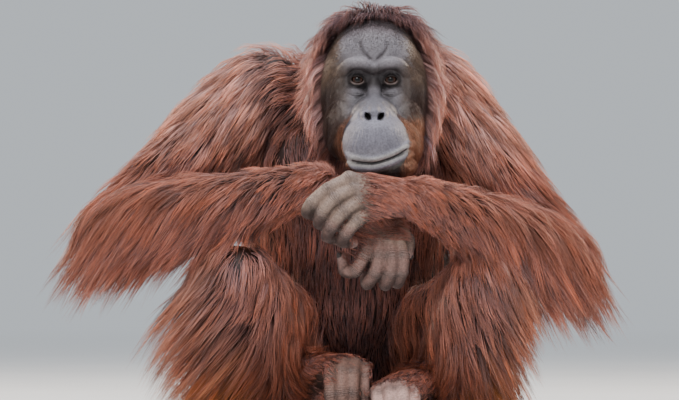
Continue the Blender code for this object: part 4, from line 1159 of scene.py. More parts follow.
@dataclass(frozen=True)
class SkinTones:
    """Screen colours of the bare skin."""

    face: Rgb = (118, 112, 116)
    beside_eye: Rgb = (92, 80, 74)
    temple: Rgb = (84, 70, 62)
    forehead: Rgb = (104, 92, 94)
    brow: Rgb = (128, 118, 120)
    under_eye: Rgb = (68, 63, 65)
    # painted shade of the brow over the eye sockets
    eye_band: Rgb = (44, 36, 36)
    # painted shade of the lids deep in the eye sockets
    lid: Rgb = (38, 30, 28)
    # painted highlight on the lower lid rim
    lid_rim: Rgb = (136, 116, 110)
    # painted shade in the frown folds
    frown: Rgb = (64, 56, 58)
    nose: Rgb = (102, 98, 104)
    muzzle: Rgb = (123, 119, 129)
    low_muzzle: Rgb = (146, 142, 150)
    chin: Rgb = (66, 60, 54)
    lips: Rgb = (172, 166, 164)
    # painted shade in the slit between the lips
    mouth: Rgb = (48, 38, 38)
    # painted shade in the nostrils
    nostril: Rgb = (30, 25, 26)
    ear: Rgb = (112, 92, 84)
    # the skin's dark brown, darkened further as painted shade under the coat
    under_coat: Rgb = (52, 30, 24)
    # the head skin's dark tone behind the hairline, darkened further as painted shade
    under_hair: Rgb = (64, 44, 40)
    hand: Rgb = (144, 120, 106)
    lower_hand: Rgb = (132, 100, 90)
    foot: Rgb = (142, 108, 95)
    wrist: Rgb = (104, 70, 58)
    lit_foot: Rgb = (200, 160, 148)
    digit_tip: Rgb = (176, 142, 134)
    joint: Rgb = (106, 90, 84)
    sole: Rgb = (96, 78, 70)


SKIN_TONES = SkinTones()


@dataclass
class Markings:
    """Colours and creases of the skin, told by the place on the body."""

    digits: Digits
    head: HeadSizes

    def face_colours(self, local: np.ndarray) -> np.ndarray:
        """Colours of the head's bare skin.

        Args:
            local: Rows of places from the middle between the eyes.

        Returns:
            A linear colour for each place.
        """
        x, y, z = local.T
        wide = np.abs(x)
        colour = np.tile(srgb(*SKIN_TONES.face), (len(local), 1))
        colour = toned(colour, SKIN_TONES.beside_eye, smooth(wide, 0.026, 0.046) * (1.0 - smooth(z, 0.010, 0.040)))
        colour = toned(colour, SKIN_TONES.temple, smooth(wide, 0.044, 0.060))
        colour = toned(colour, SKIN_TONES.forehead, smooth(z, 0.050, 0.080))
        brow = np.exp(-(((z - 0.027) / 0.0065) ** 2)) * (1.0 - smooth(wide, 0.030, 0.046)) * smooth(wide, 0.000, 0.010)
        colour = toned(colour, SKIN_TONES.brow, 0.30 * brow)
        cheek = np.exp(-(((z + 0.030) / 0.014) ** 2)) * (1.0 - smooth(wide, 0.022, 0.036))
        colour = toned(colour, SKIN_TONES.under_eye, 0.84 * cheek)
        # painted shade: a dark band across both eye sockets, where the brow shades them
        socket_shade = smooth(z, -0.016, -0.004) * (1.0 - smooth(z, 0.014, 0.023)) * (1.0 - smooth(wide, 0.032, 0.042))
        colour = toned(colour, SKIN_TONES.eye_band, 0.88 * socket_shade)
        for side in Side:
            # painted shade: the lids round each eye are darkened almost to black
            lid = np.hypot((x - self.head.eye_spacing * side.value) / 0.0150, (z + 0.0015) / 0.0110)
            colour = toned(colour, SKIN_TONES.lid, 0.88 * (1.0 - smooth(lid, 0.65, 1.15)))
            # painted highlight: the front of each lower lid rim is made pale, as if lit
            rim = np.hypot((x - self.head.eye_spacing * side.value) / 0.0088, (z - 0.0004) / 0.0058)
            lower = (1.0 - smooth(np.abs(rim - 1.02), 0.06, 0.22)) * (1.0 - smooth(z, -0.0030, 0.0005))
            colour = toned(colour, SKIN_TONES.lid_rim, 0.80 * lower * (1.0 - smooth(y, 0.012, 0.020)))
            # painted shade: a dark line along each carved frown fold
            colour = toned(colour, SKIN_TONES.frown, 0.75 * self.line_at(local, self.frown(side), 0.0020))
        nose = np.hypot(x / 0.020, (z + 0.042) / 0.022)
        colour = toned(colour, SKIN_TONES.nose, 0.8 * (1.0 - smooth(nose, 0.7, 1.3)))
        colour = toned(colour, SKIN_TONES.muzzle, self.muzzle(local))
        colour = toned(colour, SKIN_TONES.low_muzzle, 0.7 * self.muzzle(local) * smooth(-z, 0.094, 0.104))
        mouth = np.array([(mx, 0.0, mz) for mx, mz in self.head.mouth])
        flat = local * (1.0, 0.0, 1.0)
        away, _ = distance_to_line(flat, curve_through(mouth, 24))
        under = np.interp(x, mouth[:, 0], mouth[:, 2]) - z
        in_front = 1.0 - smooth(y, -0.040, -0.015)
        chin = smooth(under, 0.010, 0.015) * (1.0 - smooth(y, 0.010, 0.050))
        colour = toned(colour, SKIN_TONES.chin, 0.95 * chin)
        colour = toned(colour, SKIN_TONES.lips, 0.9 * (1.0 - smooth(away, 0.0045, 0.0090)) * in_front)
        # painted shade: a dark line in the carved slit between the lips
        colour = toned(colour, SKIN_TONES.mouth, (1.0 - smooth(away, 0.0004, 0.0016)) * in_front)
        for side in Side:
            # painted shade: the nostrils are darkened round their cut openings
            hole = np.hypot((x - 0.0090 * side.value) / 0.0046, (z + 0.0515) / 0.0062)
            dark = (1.0 - smooth(hole, 0.75, 1.25)) * (1.0 - smooth(y, -0.040, -0.030))
            colour = toned(colour, SKIN_TONES.nostril, dark)
        ear = smooth(wide, 0.070, 0.076)
        return toned(colour, SKIN_TONES.ear, ear)

    def line_at(self, local: np.ndarray, path: Path, width: float) -> np.ndarray:
        """How far each place lies within a soft line drawn on the face."""
        away, _ = distance_to_line(local * (1.0, 0.0, 1.0), curve_through(path, 16))
        return np.exp(-((away / width) ** 2))

    def frown(self, side: Side) -> Path:
        """The slanting fold above one brow."""
        s = side.value
        return [(0.0200 * s, 0.0, 0.0520), (0.0150 * s, 0.0, 0.0390), (0.0035 * s, 0.0, 0.0290)]

    def muzzle(self, local: np.ndarray) -> np.ndarray:
        """How far each place belongs to the bare pale patch of nose and muzzle."""
        x, _, z = local.T
        share = self.beside_muzzle(x, z)
        return 0.95 * (1.0 - smooth(share, 0.86, 1.04)) * (1.0 - smooth(z, -0.052, -0.030))

    def beside_muzzle(self, x: np.ndarray, z: np.ndarray) -> np.ndarray:
        """How far out each place lies from the face's middle, 1 being the pale patch's edge."""
        rows = (-0.125, -0.110, -0.096, -0.081, -0.064, -0.047, -0.034)
        right = np.interp(z, rows, (0.034, 0.042, 0.0465, 0.0470, 0.0420, 0.0300, 0.0120))
        left = np.interp(z, rows, (0.036, 0.046, 0.0510, 0.0500, 0.0430, 0.0310, 0.0120))
        return np.where(x < 0, -x / right, x / left)

    def face_creases(self, local: np.ndarray) -> tuple[np.ndarray, np.ndarray]:
        """The run across the face's fine creases, in metres, and how strong they are."""
        x, _, z = local.T
        run = z.copy()
        strength = 0.25 * smooth(z, 0.034, 0.050)
        for side in Side:
            off = np.hypot(x - self.head.eye_spacing * side.value, (z - 0.004) * 1.05)
            below = 1.0 - smooth(z, -0.010, -0.002)
            ring = smooth(off, 0.009, 0.014) * (1.0 - smooth(off, 0.024, 0.038)) * (np.sign(x) == side.value) * below
            run = np.where(ring > 0.02, off, run)
            strength = np.maximum(strength, 0.80 * ring)
        lip = smooth(-z, 0.062, 0.072) * (1.0 - smooth(-z, 0.104, 0.112)) * (1.0 - smooth(np.abs(x), 0.036, 0.048))
        run = np.where(lip > 0.02, x - 0.25 * x * (z + 0.066) / 0.04, run)
        return run, np.maximum(strength, 0.65 * lip)

    def dress(self, skin: bpy.types.Object, parts: np.ndarray) -> None:
        """Stores colours and creases on the skin.

        Args:
            skin: The skin's object.
            parts: The Part of each vertex.
        """
        points = points_of(skin.data)
        local = points - np.array(EYES)
        # painted shade: all skin starts very dark so gaps in the coat read as shadow
        colours = np.tile(srgb(*SKIN_TONES.under_coat), (len(points), 1))
        run = np.zeros(len(points))
        strength = np.zeros(len(points))
        on_head = parts == Part.HEAD
        bare = self.face_colours(local[on_head])
        # painted shade: the head's skin behind the hairline is darkened so gaps in the hair read as shadow
        colours[on_head] = toned(bare, SKIN_TONES.under_hair, Hairline().cover(points[on_head]))
        run[on_head], strength[on_head] = self.face_creases(local[on_head])
        colours[parts == Part.HAND] = srgb(*SKIN_TONES.hand)
        low = (parts == Part.HAND) * (1.0 - smooth(points[:, 2] + 0.35 * points[:, 0], 0.270, 0.290))
        colours = toned(colours, SKIN_TONES.lower_hand, low)
        colours[parts == Part.FOOT] = srgb(*SKIN_TONES.foot)
        for side in Side:
            near_wrist = nearness(points, ARMS[side].end, 0.025, 0.050)
            colours = toned(colours, SKIN_TONES.wrist, 0.8 * near_wrist * (parts == Part.HAND))
        feet = np.flatnonzero(parts == Part.FOOT)
        light = smooth(points[feet, 0], 0.01, 0.03) * (1.0 - smooth(points[feet, 1], -0.26, -0.20))
        colours[feet] = toned(colours[feet], SKIN_TONES.lit_foot, light)
        limbs = np.flatnonzero(parts >= Part.HAND)
        # painted shade: hands and feet are darkened where their skin turns away from the front and the top, lightest
        # where it faces them
        facing = normals_of(skin.data)[limbs] @ np.array([0.0, -0.85, 0.53])
        colours[limbs] *= (0.26 + 0.82 * smooth(facing, 0.05, 0.85))[:, None]
        nearest = np.full(len(limbs), 1e9)
        for line, places, _ in self.digits.joints():
            away, along = distance_to_line(points[limbs], line)
            length = np.linalg.norm(np.diff(line, axis=0), axis=1).sum()
            own = (away < nearest) & (away < 0.017)
            nearest = np.where(own, away, nearest)
            close = np.min(np.abs(along[:, None] - places[None, :]), axis=1) * length
            picked = limbs[own]
            run[picked] = along[own] * length
            strength[picked] = 0.30 + 0.70 * (1.0 - smooth(close[own], 0.003, 0.009))
            tip = smooth(along[own], 0.86, 1.0)
            colours[picked] = toned(colours[picked], SKIN_TONES.digit_tip, 0.6 * tip)
            joint = 1.0 - smooth(close[own], 0.0, 0.007)
            colours[picked] = toned(colours[picked], SKIN_TONES.joint, 0.45 * joint)
        sole = smooth(0.030 - points[limbs, 2], 0.0, 0.020)
        colours[limbs] = toned(colours[limbs], SKIN_TONES.sole, 0.5 * sole)
        paint(skin.data, "Col", colours)
        store(skin.data, "run", run)
        store(skin.data, "creased", strength)


@dataclass(frozen=True)
class Hairline:
    """Where the long hair of the head starts, from the middle between the eyes."""

    half_width: float = 0.0665
    straight_to: float = 0.030
    rise: float = 0.0590
    side_from: float = 0.040

    def cover(self, points: np.ndarray) -> np.ndarray:
        """How far each place lies behind the hairline, from 0 on the face to 1 under the hair."""
        x, y, z = (points - np.array(EYES)).T
        above = np.maximum(z - self.straight_to, 0.0) / self.rise
        round_top = smooth(np.hypot(np.abs(x) / self.half_width, above), 0.93, 1.04)
        behind = smooth(y, self.side_from - 0.008, self.side_from + 0.010)
        low = smooth(y, 0.052, 0.070)
        beside = behind * smooth(np.abs(x), 0.052, 0.064)
        return np.maximum(np.where(z > self.straight_to, round_top, beside), low)


@dataclass
class Skin:
    """The one skin that stands for all the flesh."""

    digits: Digits
    markings: Markings

    def build(self) -> bpy.types.Object:
        """Joins body, face, hands and feet in one mesh and dresses it."""
        pieces = [(Torso(BODY_SIZES).build(), Part.BODY), (Head(HEAD_SIZES).build(), Part.HEAD)]
        for side in Side:
            pieces.append((self.digits.hand(side), Part.HAND))
            pieces.append((self.digits.foot(side), Part.FOOT))
        bm = bmesh.new()
        kinds: list[int] = []
        for obj, kind in pieces:
            bm.from_mesh(obj.data)
            kinds += [kind] * (len(bm.verts) - len(kinds))
            LOG.info("%s: %d faces", obj.name, len(obj.data.polygons))
            bpy.data.objects.remove(obj)
        mesh = bpy.data.meshes.new("skin")
        bm.to_mesh(mesh)
        bm.free()
        skin = object_of("skin", mesh)
        shade_smooth(mesh)
        self.markings.dress(skin, np.array(kinds))
        store(mesh, "part", np.array(kinds, float))
        mesh.materials.append(SkinFinish().build())
        return skin


# Coat


@dataclass(frozen=True)
class Bone:
    """A part's middle line and how thick the flesh round it is."""

    line: np.ndarray
    radius: float


def bones() -> dict[Region, Bone]:
    """The middle lines that say which part of the body a place belongs to."""
    spine = np.array([row[:3] for row in BODY_SIZES.spine])
    found = {Region.TORSO: Bone(spine, 0.125)}
    skull = np.array(face(0, 0.085, 0.020))
    found[Region.HEAD] = Bone(np.array([skull, skull + (0, 0, 0.012)]), 0.068)
    for side in Side:
        upper, lower = arm_lines(side)
        thigh, shank = leg_lines(side)
        found[side.region("UPPER_ARM")] = Bone(upper, 0.050)
        found[side.region("FOREARM")] = Bone(lower, 0.036)
        found[side.region("THIGH")] = Bone(thigh, 0.055)
        found[side.region("SHANK")] = Bone(shank, 0.036)
        found[side.region("HAND")] = Bone(np.array([ARMS[side].end, roots_of(KNUCKLES[side])]), 0.021)
        found[side.region("FOOT")] = Bone(np.array([LEGS[side].end, roots_of(TOE_ROOTS[side])]), 0.023)
    return found


def roots_of(places: dict[str, Place]) -> Vector:
    """The middle of the knuckles or toe roots of one side."""
    points = [VIEW.point(*place) for place in places.values()]
    return sum(points, Vector()) / len(points)


class Flow:
    """Which way the coat lies, and how long it is, all over the body."""

    WHORL = np.array(face(0.0, 0.108, 0.092))
    DOWN = np.array([0.0, 0.0, -1.0])

    def __init__(self) -> None:
        """Takes the middle lines of all parts."""
        self.bones = bones()
        self.regions = list(self.bones)

    def distances(self, points: np.ndarray) -> np.ndarray:
        """How far each place lies outside each part, one column a part."""
        return np.stack([distance_to_line(points, b.line)[0] - b.radius for b in self.bones.values()], axis=1)

    def region_of(self, points: np.ndarray) -> np.ndarray:
        """The number of the nearest part for each place."""
        values = np.array([region.value for region in self.regions])
        return values[np.argmin(self.distances(points), axis=1)]

    def lie_on(self, region: Region, points: np.ndarray) -> np.ndarray:
        """The coat's direction if a place belonged to one part alone."""
        x, y, z = points.T
        rows = np.tile(self.DOWN, (len(points), 1))
        side = Side.RIGHT if region.name.endswith("RIGHT") else Side.LEFT
        sign = side.value
        if region is Region.TORSO:
            back = smooth(y, -0.04, 0.04)
            top = smooth(z, 0.40, 0.47)
            rows[:, 0] += np.tanh(x / 0.06) * (0.16 * back + 0.9 * top) - x * 2.0 * (1.0 - back) * (1.0 - top)
            rows[:, 1] += 0.10 * back * smooth(z, 0.30, 0.45) + 0.6 * top * smooth(y, -0.03, 0.02)
            rows[:, 2] += 0.80 * top * (1.0 - smooth(y, -0.01, 0.05))
        elif region is Region.HEAD:
            away = unit(points - self.WHORL, 1e-6)
            hang = smooth(EYES.z + 0.070 - z, 0.0, 0.05)[:, None]
            fall = np.stack([np.tanh((x - EYES.x) / 0.03) * 0.14, np.full(len(x), 0.03), np.full(len(x), -1.0)], axis=1)
            front = (1.0 - smooth(y - EYES.y, 0.010, 0.060))[:, None]
            rows = (away + self.DOWN * (0.15 + 1.4 * front)) * (1.0 - hang) + fall * hang
        elif region.kind == "upper_arm":
            line = self.bones[region].line
            rows = rows * 0.45 + (line[1] - line[0]) / np.linalg.norm(line[1] - line[0]) * 0.75
            rows[:, 0] += 0.10 * sign
        elif region.kind == "forearm":
            line = self.bones[region].line
            rows = rows * 0.80 + (line[0] - line[1]) / np.linalg.norm(line[0] - line[1]) * 0.50
            rows[:, 0] += 0.10 * sign
        elif region.kind == "thigh":
            line = self.bones[region].line
            rows = rows * 0.95 + (line[1] - line[0]) / np.linalg.norm(line[1] - line[0]) * 0.45
            rows[:, 0] += sign * (0.05 + (0.50 if side is Side.RIGHT else 0.22) * self.spread(points, side))
        elif region.kind == "shank":
            rows[:, 0] += sign * (0.04 + (0.80 if side is Side.RIGHT else 0.34) * self.spread(points, side))
        else:
            line = self.bones[region].line
            towards = line[0] - line[1] if region.kind == "hand" else line[1] - line[0]
            rows = rows * 0.30 + towards / np.linalg.norm(towards)
        return rows

    def outward(self, points: np.ndarray, side: Side) -> tuple[np.ndarray, np.ndarray]:
        """How far out places lie from a shank's middle, and how far down the shank, from 0 to 1."""
        leg = LEGS[side]
        down = np.clip((leg.bend.z - points[:, 2]) / (leg.bend.z - leg.end.z), 0.0, 1.0)
        return (points[:, 0] - leg.bend.x - (leg.end.x - leg.bend.x) * down) * side.value, down

    def spread(self, points: np.ndarray, side: Side) -> np.ndarray:
        """How much the hair on the outer side of a leg stands away from it, before its tips fall."""
        out, down = self.outward(points, side)
        return smooth(out, 0.000, 0.038) * (1.0 - 0.85 * smooth(out - 0.070 * down, 0.085, 0.130))

    def lie(self, points: np.ndarray) -> np.ndarray:
        """The coat's direction, blended where parts meet."""
        away = self.distances(points)
        weight = np.exp(-(away - away.min(axis=1, keepdims=True)) / 0.016)
        weight /= weight.sum(axis=1, keepdims=True)
        total = np.zeros_like(points)
        for column, region in enumerate(self.regions):
            total += weight[:, column, None] * self.lie_on(region, points)
        return unit(total)

    def length_at(self, points: np.ndarray) -> np.ndarray:
        """The coat's length in metres at each root."""
        _, y, z = points.T
        away = self.distances(points)
        weight = np.exp(-(away - away.min(axis=1, keepdims=True)) / 0.012)
        weight /= weight.sum(axis=1, keepdims=True)
        back = smooth(y, -0.05, 0.03)
        sides = smooth(EYES.z + 0.075 - z, 0.0, 0.08)
        behind_line = smooth(y - EYES.y, 0.026, 0.080)
        found = {
            Region.TORSO: 0.062 + 0.060 * back,
            Region.HEAD: (0.022 + 0.054 * behind_line) * (1.0 - sides) + 0.074 * sides,
        }
        for side in Side:
            arm, leg = ARMS[side], LEGS[side]
            near_elbow = nearness(points, arm.bend, 0.03, 0.15)
            near_wrist = nearness(points, arm.end, 0.03, 0.15)
            near_knee = nearness(points, leg.bend, 0.03, 0.07)
            found[side.region("UPPER_ARM")] = 0.085 + 0.035 * near_elbow
            found[side.region("FOREARM")] = 0.100 + 0.050 * near_elbow - 0.068 * near_wrist
            reach = 0.110 if side is Side.RIGHT else 0.050
            wide = smooth(self.outward(points, side)[0], -0.005, 0.035)
            found[side.region("THIGH")] = 0.085 - 0.015 * near_knee + 0.8 * reach * wide
            low = 1.0 - smooth(z, 0.05, 0.11)
            inner = 0.105 - 0.040 * near_knee - 0.060 * low
            found[side.region("SHANK")] = inner + (reach + 0.030 * near_knee + 0.030 * low) * wide
            behind = np.linalg.norm(points - np.array(roots_of(KNUCKLES[side])), axis=1)
            found[side.region("HAND")] = 0.014 + 0.020 * smooth(behind, 0.01, 0.05)
            found[side.region("FOOT")] = 0.024
        total = np.zeros(len(points))
        for column, region in enumerate(self.regions):
            total += weight[:, column] * found[region]
        return total


@dataclass(frozen=True)
class CoatTones:
    """Screen colours of the hair half way along."""

    body: Rgb = (166, 104, 86)
    # painted sheen of the sky on the tops of the shoulders
    shoulder: Rgb = (202, 148, 134)
    elbow: Rgb = (156, 100, 84)
    knee: Rgb = (168, 116, 106)
    shank: Rgb = (126, 68, 44)
    # the coat's own orange with painted rim light on the outer sides of the legs
    outer_leg: Rgb = (174, 106, 42)
    low_shank: Rgb = (112, 58, 40)
    # painted shade on the front of the trunk
    chest: Rgb = (128, 82, 74)
    head: Rgb = (172, 124, 118)
    # painted light on the head's side hair
    beside_face: Rgb = (216, 160, 150)
    crown: Rgb = (80, 54, 60)
    brow_fur: Rgb = (92, 80, 78)
    temple_fur: Rgb = (126, 102, 84)
    cheek_fur: Rgb = (84, 60, 50)
    muzzle_fur: Rgb = (184, 124, 90)
    chin_fur: Rgb = (60, 50, 46)


COAT_TONES = CoatTones()


@dataclass
class Tint:
    """The colour of the coat by place."""

    flow: Flow

    def at(self, points: np.ndarray) -> np.ndarray:
        """The hair's middle colour for roots at rows of points."""
        x, y, z = points.T
        local = points - np.array(EYES)
        base = np.tile(srgb(*COAT_TONES.body), (len(points), 1))
        # painted highlight: the hair on top of the shoulders is made paler and pinker, as sky sheen
        base = toned(base, COAT_TONES.shoulder, smooth(z, 0.36, 0.46) * smooth(np.abs(x), 0.04, 0.10))
        region = self.flow.region_of(points)
        for side in Side:
            arm, leg = ARMS[side], LEGS[side]
            elbow = nearness(points, arm.bend, 0.04, 0.13)
            base = toned(base, COAT_TONES.elbow, 0.7 * elbow)
            knee = nearness(points, leg.bend, 0.05, 0.12)
            base = toned(base, COAT_TONES.knee, 0.8 * knee)
            on_shank = region == side.region("SHANK").value
            on_thigh = region == side.region("THIGH").value
            outer = smooth(self.flow.outward(points, side)[0], -0.005, 0.035) * (1.0 - 0.6 * knee)
            base = toned(base, COAT_TONES.shank, 0.60 * on_shank * (1.0 - 0.7 * knee))
            # partly the coat's own orange, partly painted rim light on the outer hair of shanks and thighs
            base = toned(base, COAT_TONES.outer_leg, (0.85 * on_shank + 0.60 * on_thigh) * outer)
            inner = (1.0 - outer) * (1.0 - smooth(z, 0.06, 0.16))
            base = np.where(on_shank[:, None], toned(base, COAT_TONES.low_shank, 0.8 * inner), base)
        # painted shade: the hair on the front of the trunk is darkened
        front = (1.0 - smooth(y, -0.10, -0.02)) * (region == Region.TORSO.value)
        base = toned(base, COAT_TONES.chest, 0.6 * front)
        on_head = (region == Region.HEAD.value).astype(float)
        base = toned(base, COAT_TONES.head, 0.92 * on_head)
        # painted light: the hair beside the face is made paler to lift it out of its shade
        beside = on_head * smooth(np.abs(local[:, 0]), 0.052, 0.070) * (1.0 - smooth(local[:, 2], 0.045, 0.080))
        base = toned(base, COAT_TONES.beside_face, 0.85 * beside)
        brow = on_head * (1.0 - smooth(local[:, 1], 0.07, 0.12)) * smooth(local[:, 2], 0.055, 0.085)
        return toned(base, COAT_TONES.crown, 0.84 * brow)


@dataclass(frozen=True)
class StrandSizes:
    """How the hairs of one piece are built."""

    count: int
    guides: int
    width: float = 0.0013
    rings: int = 3
    lift: float = 0.020
    cling: float = 0.35
    clump: float = 0.62
    wave: float = 0.0022
    root_depth: float = 0.0025
    stray: float = 0.05
    least_ride: float = 0.15
    tip_height: float = 1.0
    steepest: float = 0.42


@dataclass
class Strands:
    """A piece of coat: guides are laid over the skin, and hairs are gathered to them."""

    flow: Flow
    tint: Tint
    tree: BVHTree

    STEPS: ClassVar[int] = 9

    def nearest(self, points: np.ndarray) -> tuple[np.ndarray, np.ndarray]:
        """Height over the skin and the skin's normal for each place."""
        heights = np.empty(len(points))
        normals = np.empty_like(points)
        for i, point in enumerate(points):
            near, normal, _, _ = self.tree.find_nearest(Vector(point))
            offset = Vector(point) - near
            far = offset.length
            inside = offset.dot(normal) < -0.3 * far
            heights[i] = -far if inside else far
            normals[i] = normal if inside or far < 1e-5 else offset / far
        return heights, normals

    def lay(
        self, roots: np.ndarray, normals: np.ndarray, sizes: StrandSizes, chance: np.random.Generator
    ) -> np.ndarray:
        """Guides that leave the skin, bend into the coat's lie and keep off everything below.

        Args:
            roots: Places on the skin.
            normals: The skin's normal at each.
            sizes: How the hairs are built.
            chance: The source of variation.

        Returns:
            An array of guides by steps by coordinates.
        """
        count = len(roots)
        lengths = self.flow.length_at(roots) * chance.uniform(0.82, 1.15, count)
        step = (lengths / (self.STEPS - 1))[:, None]
        ride = np.minimum(sizes.lift, lengths * sizes.steepest) * chance.uniform(sizes.least_ride, 1.0, count)
        sway = chance.normal(0.0, 0.10, (count, 3))
        at = roots.copy()
        heading = self.flow.lie(at) * 0.8 + normals * 0.6
        path = [at.copy()]
        for k in range(1, self.STEPS):
            share = k / (self.STEPS - 1)
            height, out = self.nearest(at)
            want = self.flow.lie(at) + sway
            inward = np.minimum(np.sum(want * out, axis=1), 0.0)
            close = 1.0 - smooth(height, 0.010, 0.045)
            want -= out * (inward * close)[:, None]
            heading = unit(0.45 * heading + 0.55 * unit(want))
            at = at + heading * step
            height, out = self.nearest(at)
            fall = 1.0 - (1.0 - sizes.tip_height) * float(smooth(share, 0.35, 1.0))
            goal = np.maximum(0.003, ride * fall * math.sin(min(1.0, share * 1.6) * math.pi / 2))
            lack = np.maximum(goal - height, 0.0)
            spare = np.maximum(height - goal, 0.0) * sizes.cling * (1.0 - smooth(height, 0.02, 0.05))
            at = at + out * (lack - spare)[:, None]
            at[:, 2] = np.maximum(at[:, 2], LOWEST_GUIDE)
            path.append(at.copy())
        return np.stack(path, axis=1)

    def scatter(
        self, skin: "Surface", wanted: np.ndarray, count: int, chance: np.random.Generator
    ) -> tuple[np.ndarray, np.ndarray]:
        """Spreads roots over the skin by area and by how much hair is wanted.

        Args:
            skin: The skin's faces.
            wanted: How thickly each face carries hair, from 0 to 1.
            count: How many roots there are.
            chance: The source of variation.

        Returns:
            The roots and the skin's normal at each.
        """
        faces = np.flatnonzero(wanted > 0.02)
        share = skin.areas[faces] * wanted[faces]
        share /= share.sum()
        order = (np.arange(count) + chance.uniform(0, 1, count)) / count
        picked = faces[np.minimum(np.searchsorted(np.cumsum(share), order), len(faces) - 1)]
        a, b = chance.uniform(0, 1, count), chance.uniform(0, 1, count)
        fold = a + b > 1.0
        a, b = np.where(fold, 1 - a, a), np.where(fold, 1 - b, b)
        corner = skin.corners[picked]
        roots = corner[:, 0] + (corner[:, 1] - corner[:, 0]) * a[:, None] + (corner[:, 2] - corner[:, 0]) * b[:, None]
        return roots, skin.normals[picked]

    def grow(
        self, name: str, skin: "Surface", wanted: np.ndarray, sizes: StrandSizes, unwrap: "Unwrap"
    ) -> bpy.types.Object:
        """Builds one piece of the coat.

        Args:
            name: The piece's name.
            skin: The skin's faces.
            wanted: How thickly each face carries hair of this piece, from 0 to 1.
            sizes: How the hairs are built.
            unwrap: Where a root lies on the unwrapped skin.

        Returns:
            The linked object.
        """
        chance = np.random.default_rng([SEED, sum(map(ord, name))])
        guide_roots, guide_normals = self.scatter(skin, wanted, sizes.guides, chance)
        guides = self.lay(guide_roots, guide_normals, sizes, chance)
        roots, normals = self.scatter(skin, wanted, sizes.count, chance)
        tree = KDTree(len(guide_roots))
        for i, place in enumerate(guide_roots):
            tree.insert(place, i)
        tree.balance()
        near = [tree.find_n(place, 3) for place in roots]
        owner = np.array([[hit[1] for hit in hits] for hits in near])
        far = np.array([[hit[2] for hit in hits] for hits in near])
        weight = 1.0 / (far + 0.004)
        weight /= weight.sum(axis=1, keepdims=True)
        moves = guides - guides[:, :1]
        path = roots[:, None] + np.einsum("ij,ijkl->ikl", weight, moves[owner])
        at = np.linspace(0.0, 1.0, self.STEPS)
        clump = np.where(chance.uniform(0, 1, len(roots)) < sizes.stray, 0.15, sizes.clump)
        clump = clump * chance.uniform(0.75, 1.1, len(roots))
        pull = clump[:, None] * at[None, :] ** 0.9
        path += (guides[owner[:, 0]] - path) * pull[:, :, None]
        path = self.resampled(path, sizes.rings + 1, chance.uniform(0.68, 1.0, len(roots)))
        share = np.linspace(0.0, 1.0, sizes.rings + 1)
        phase = chance.uniform(0, 2 * math.pi, (len(roots), 3, 1))
        turns = chance.uniform(0.6, 1.5, (len(roots), 3, 1))
        wave = np.sin(phase + turns * share * 2 * math.pi) - np.sin(phase)
        height = chance.uniform(0.3, 1.0, (len(roots), 1, 1))
        path += np.swapaxes(wave, 1, 2) * sizes.wave * height * share[None, :, None]
        path[:, 0] -= normals * sizes.root_depth
        path[:, 1:, 2] = np.maximum(path[:, 1:, 2], LOWEST_HAIR)
        path[:, :, 2] = np.maximum(path[:, :, 2], FLOOR_LEVEL)
        shade = self.shades(roots, owner[:, 0], len(guide_roots), chance)
        width = sizes.width * chance.uniform(0.75, 1.25, len(roots))
        return HairMesh(path, normals, width, shade, unwrap.place(roots)).build(name)

    def resampled(self, path: np.ndarray, count: int, shares: np.ndarray) -> np.ndarray:
        """Each path cut to a share of its length and given count points, closer near the root."""
        at = np.linspace(0.0, 1.0, count)[None, :] * shares[:, None] * (path.shape[1] - 1)
        low = np.minimum(at.astype(int), path.shape[1] - 2)
        rows = np.arange(len(path))[:, None]
        part = (at - low)[:, :, None]
        return path[rows, low] * (1.0 - part) + path[rows, low + 1] * part

    def shades(self, roots: np.ndarray, owner: np.ndarray, guides: int, chance: np.random.Generator) -> np.ndarray:
        """The middle colour of each hair, varied by lock and by hair."""
        by_lock = chance.normal(1.0, 0.26, guides)[owner]
        by_hair = chance.normal(1.0, 0.15, len(roots))
        warmth = chance.normal(0.0, 0.10, guides)[owner][:, None] * np.array([0.4, -0.3, -1.0])
        return self.tint.at(roots) * np.clip(by_lock * by_hair, 0.4, 1.9)[:, None] * (1.0 + warmth)


class Surface:
    """The skin's faces as arrays."""

    def __init__(self, skin: bpy.types.Object) -> None:
        """Sorts the skin's triangles by place, so that random draws always fall on the same ones."""
        mesh = skin.data
        mesh.calc_loop_triangles()
        index = read(mesh.loop_triangles, "vertices", 3, np.int64)
        points = points_of(mesh)
        middles = np.round(points[index].mean(axis=1), 6)
        index = index[np.lexsort(middles.T)]
        self.corners = points[index]
        cross = np.cross(self.corners[:, 1] - self.corners[:, 0], self.corners[:, 2] - self.corners[:, 0])
        size = np.linalg.norm(cross, axis=1)
        self.areas = size / 2
        self.normals = cross / (size[:, None] + 1e-12)
        self.middles = self.corners.mean(axis=1)
        part = read(mesh.attributes["part"].data, "value", kind=np.float32)
        self.parts = part[index[:, 0]].astype(int)
        self.tree = BVHTree.FromPolygons([tuple(p) for p in points], [tuple(t) for t in index])


class Unwrap:
    """The skin of one part rolled off a cylinder round its middle line."""

    def __init__(self, line: np.ndarray) -> None:
        """Takes the cylinder's axis from the ends of a middle line."""
        self.start = line[0]
        self.axis = (line[-1] - line[0]) / np.linalg.norm(line[-1] - line[0])
        other = np.array([0.0, 1.0, 0.0]) if abs(self.axis[1]) < 0.8 else np.array([1.0, 0.0, 0.0])
        self.first = np.cross(self.axis, other)
        self.first /= np.linalg.norm(self.first)
        self.second = np.cross(self.axis, self.first)

    def place(self, points: np.ndarray) -> np.ndarray:
        """Where each root lies on the unwrap, from 0 to 1 both ways."""
        local = points - self.start
        turn = np.arctan2(local @ self.second, local @ self.first) / (2 * math.pi) + 0.5
        height = local @ self.axis
        height = (height - height.min()) / (np.ptp(height) + 1e-9)
        return 0.005 + 0.985 * np.stack([turn, height], axis=1)


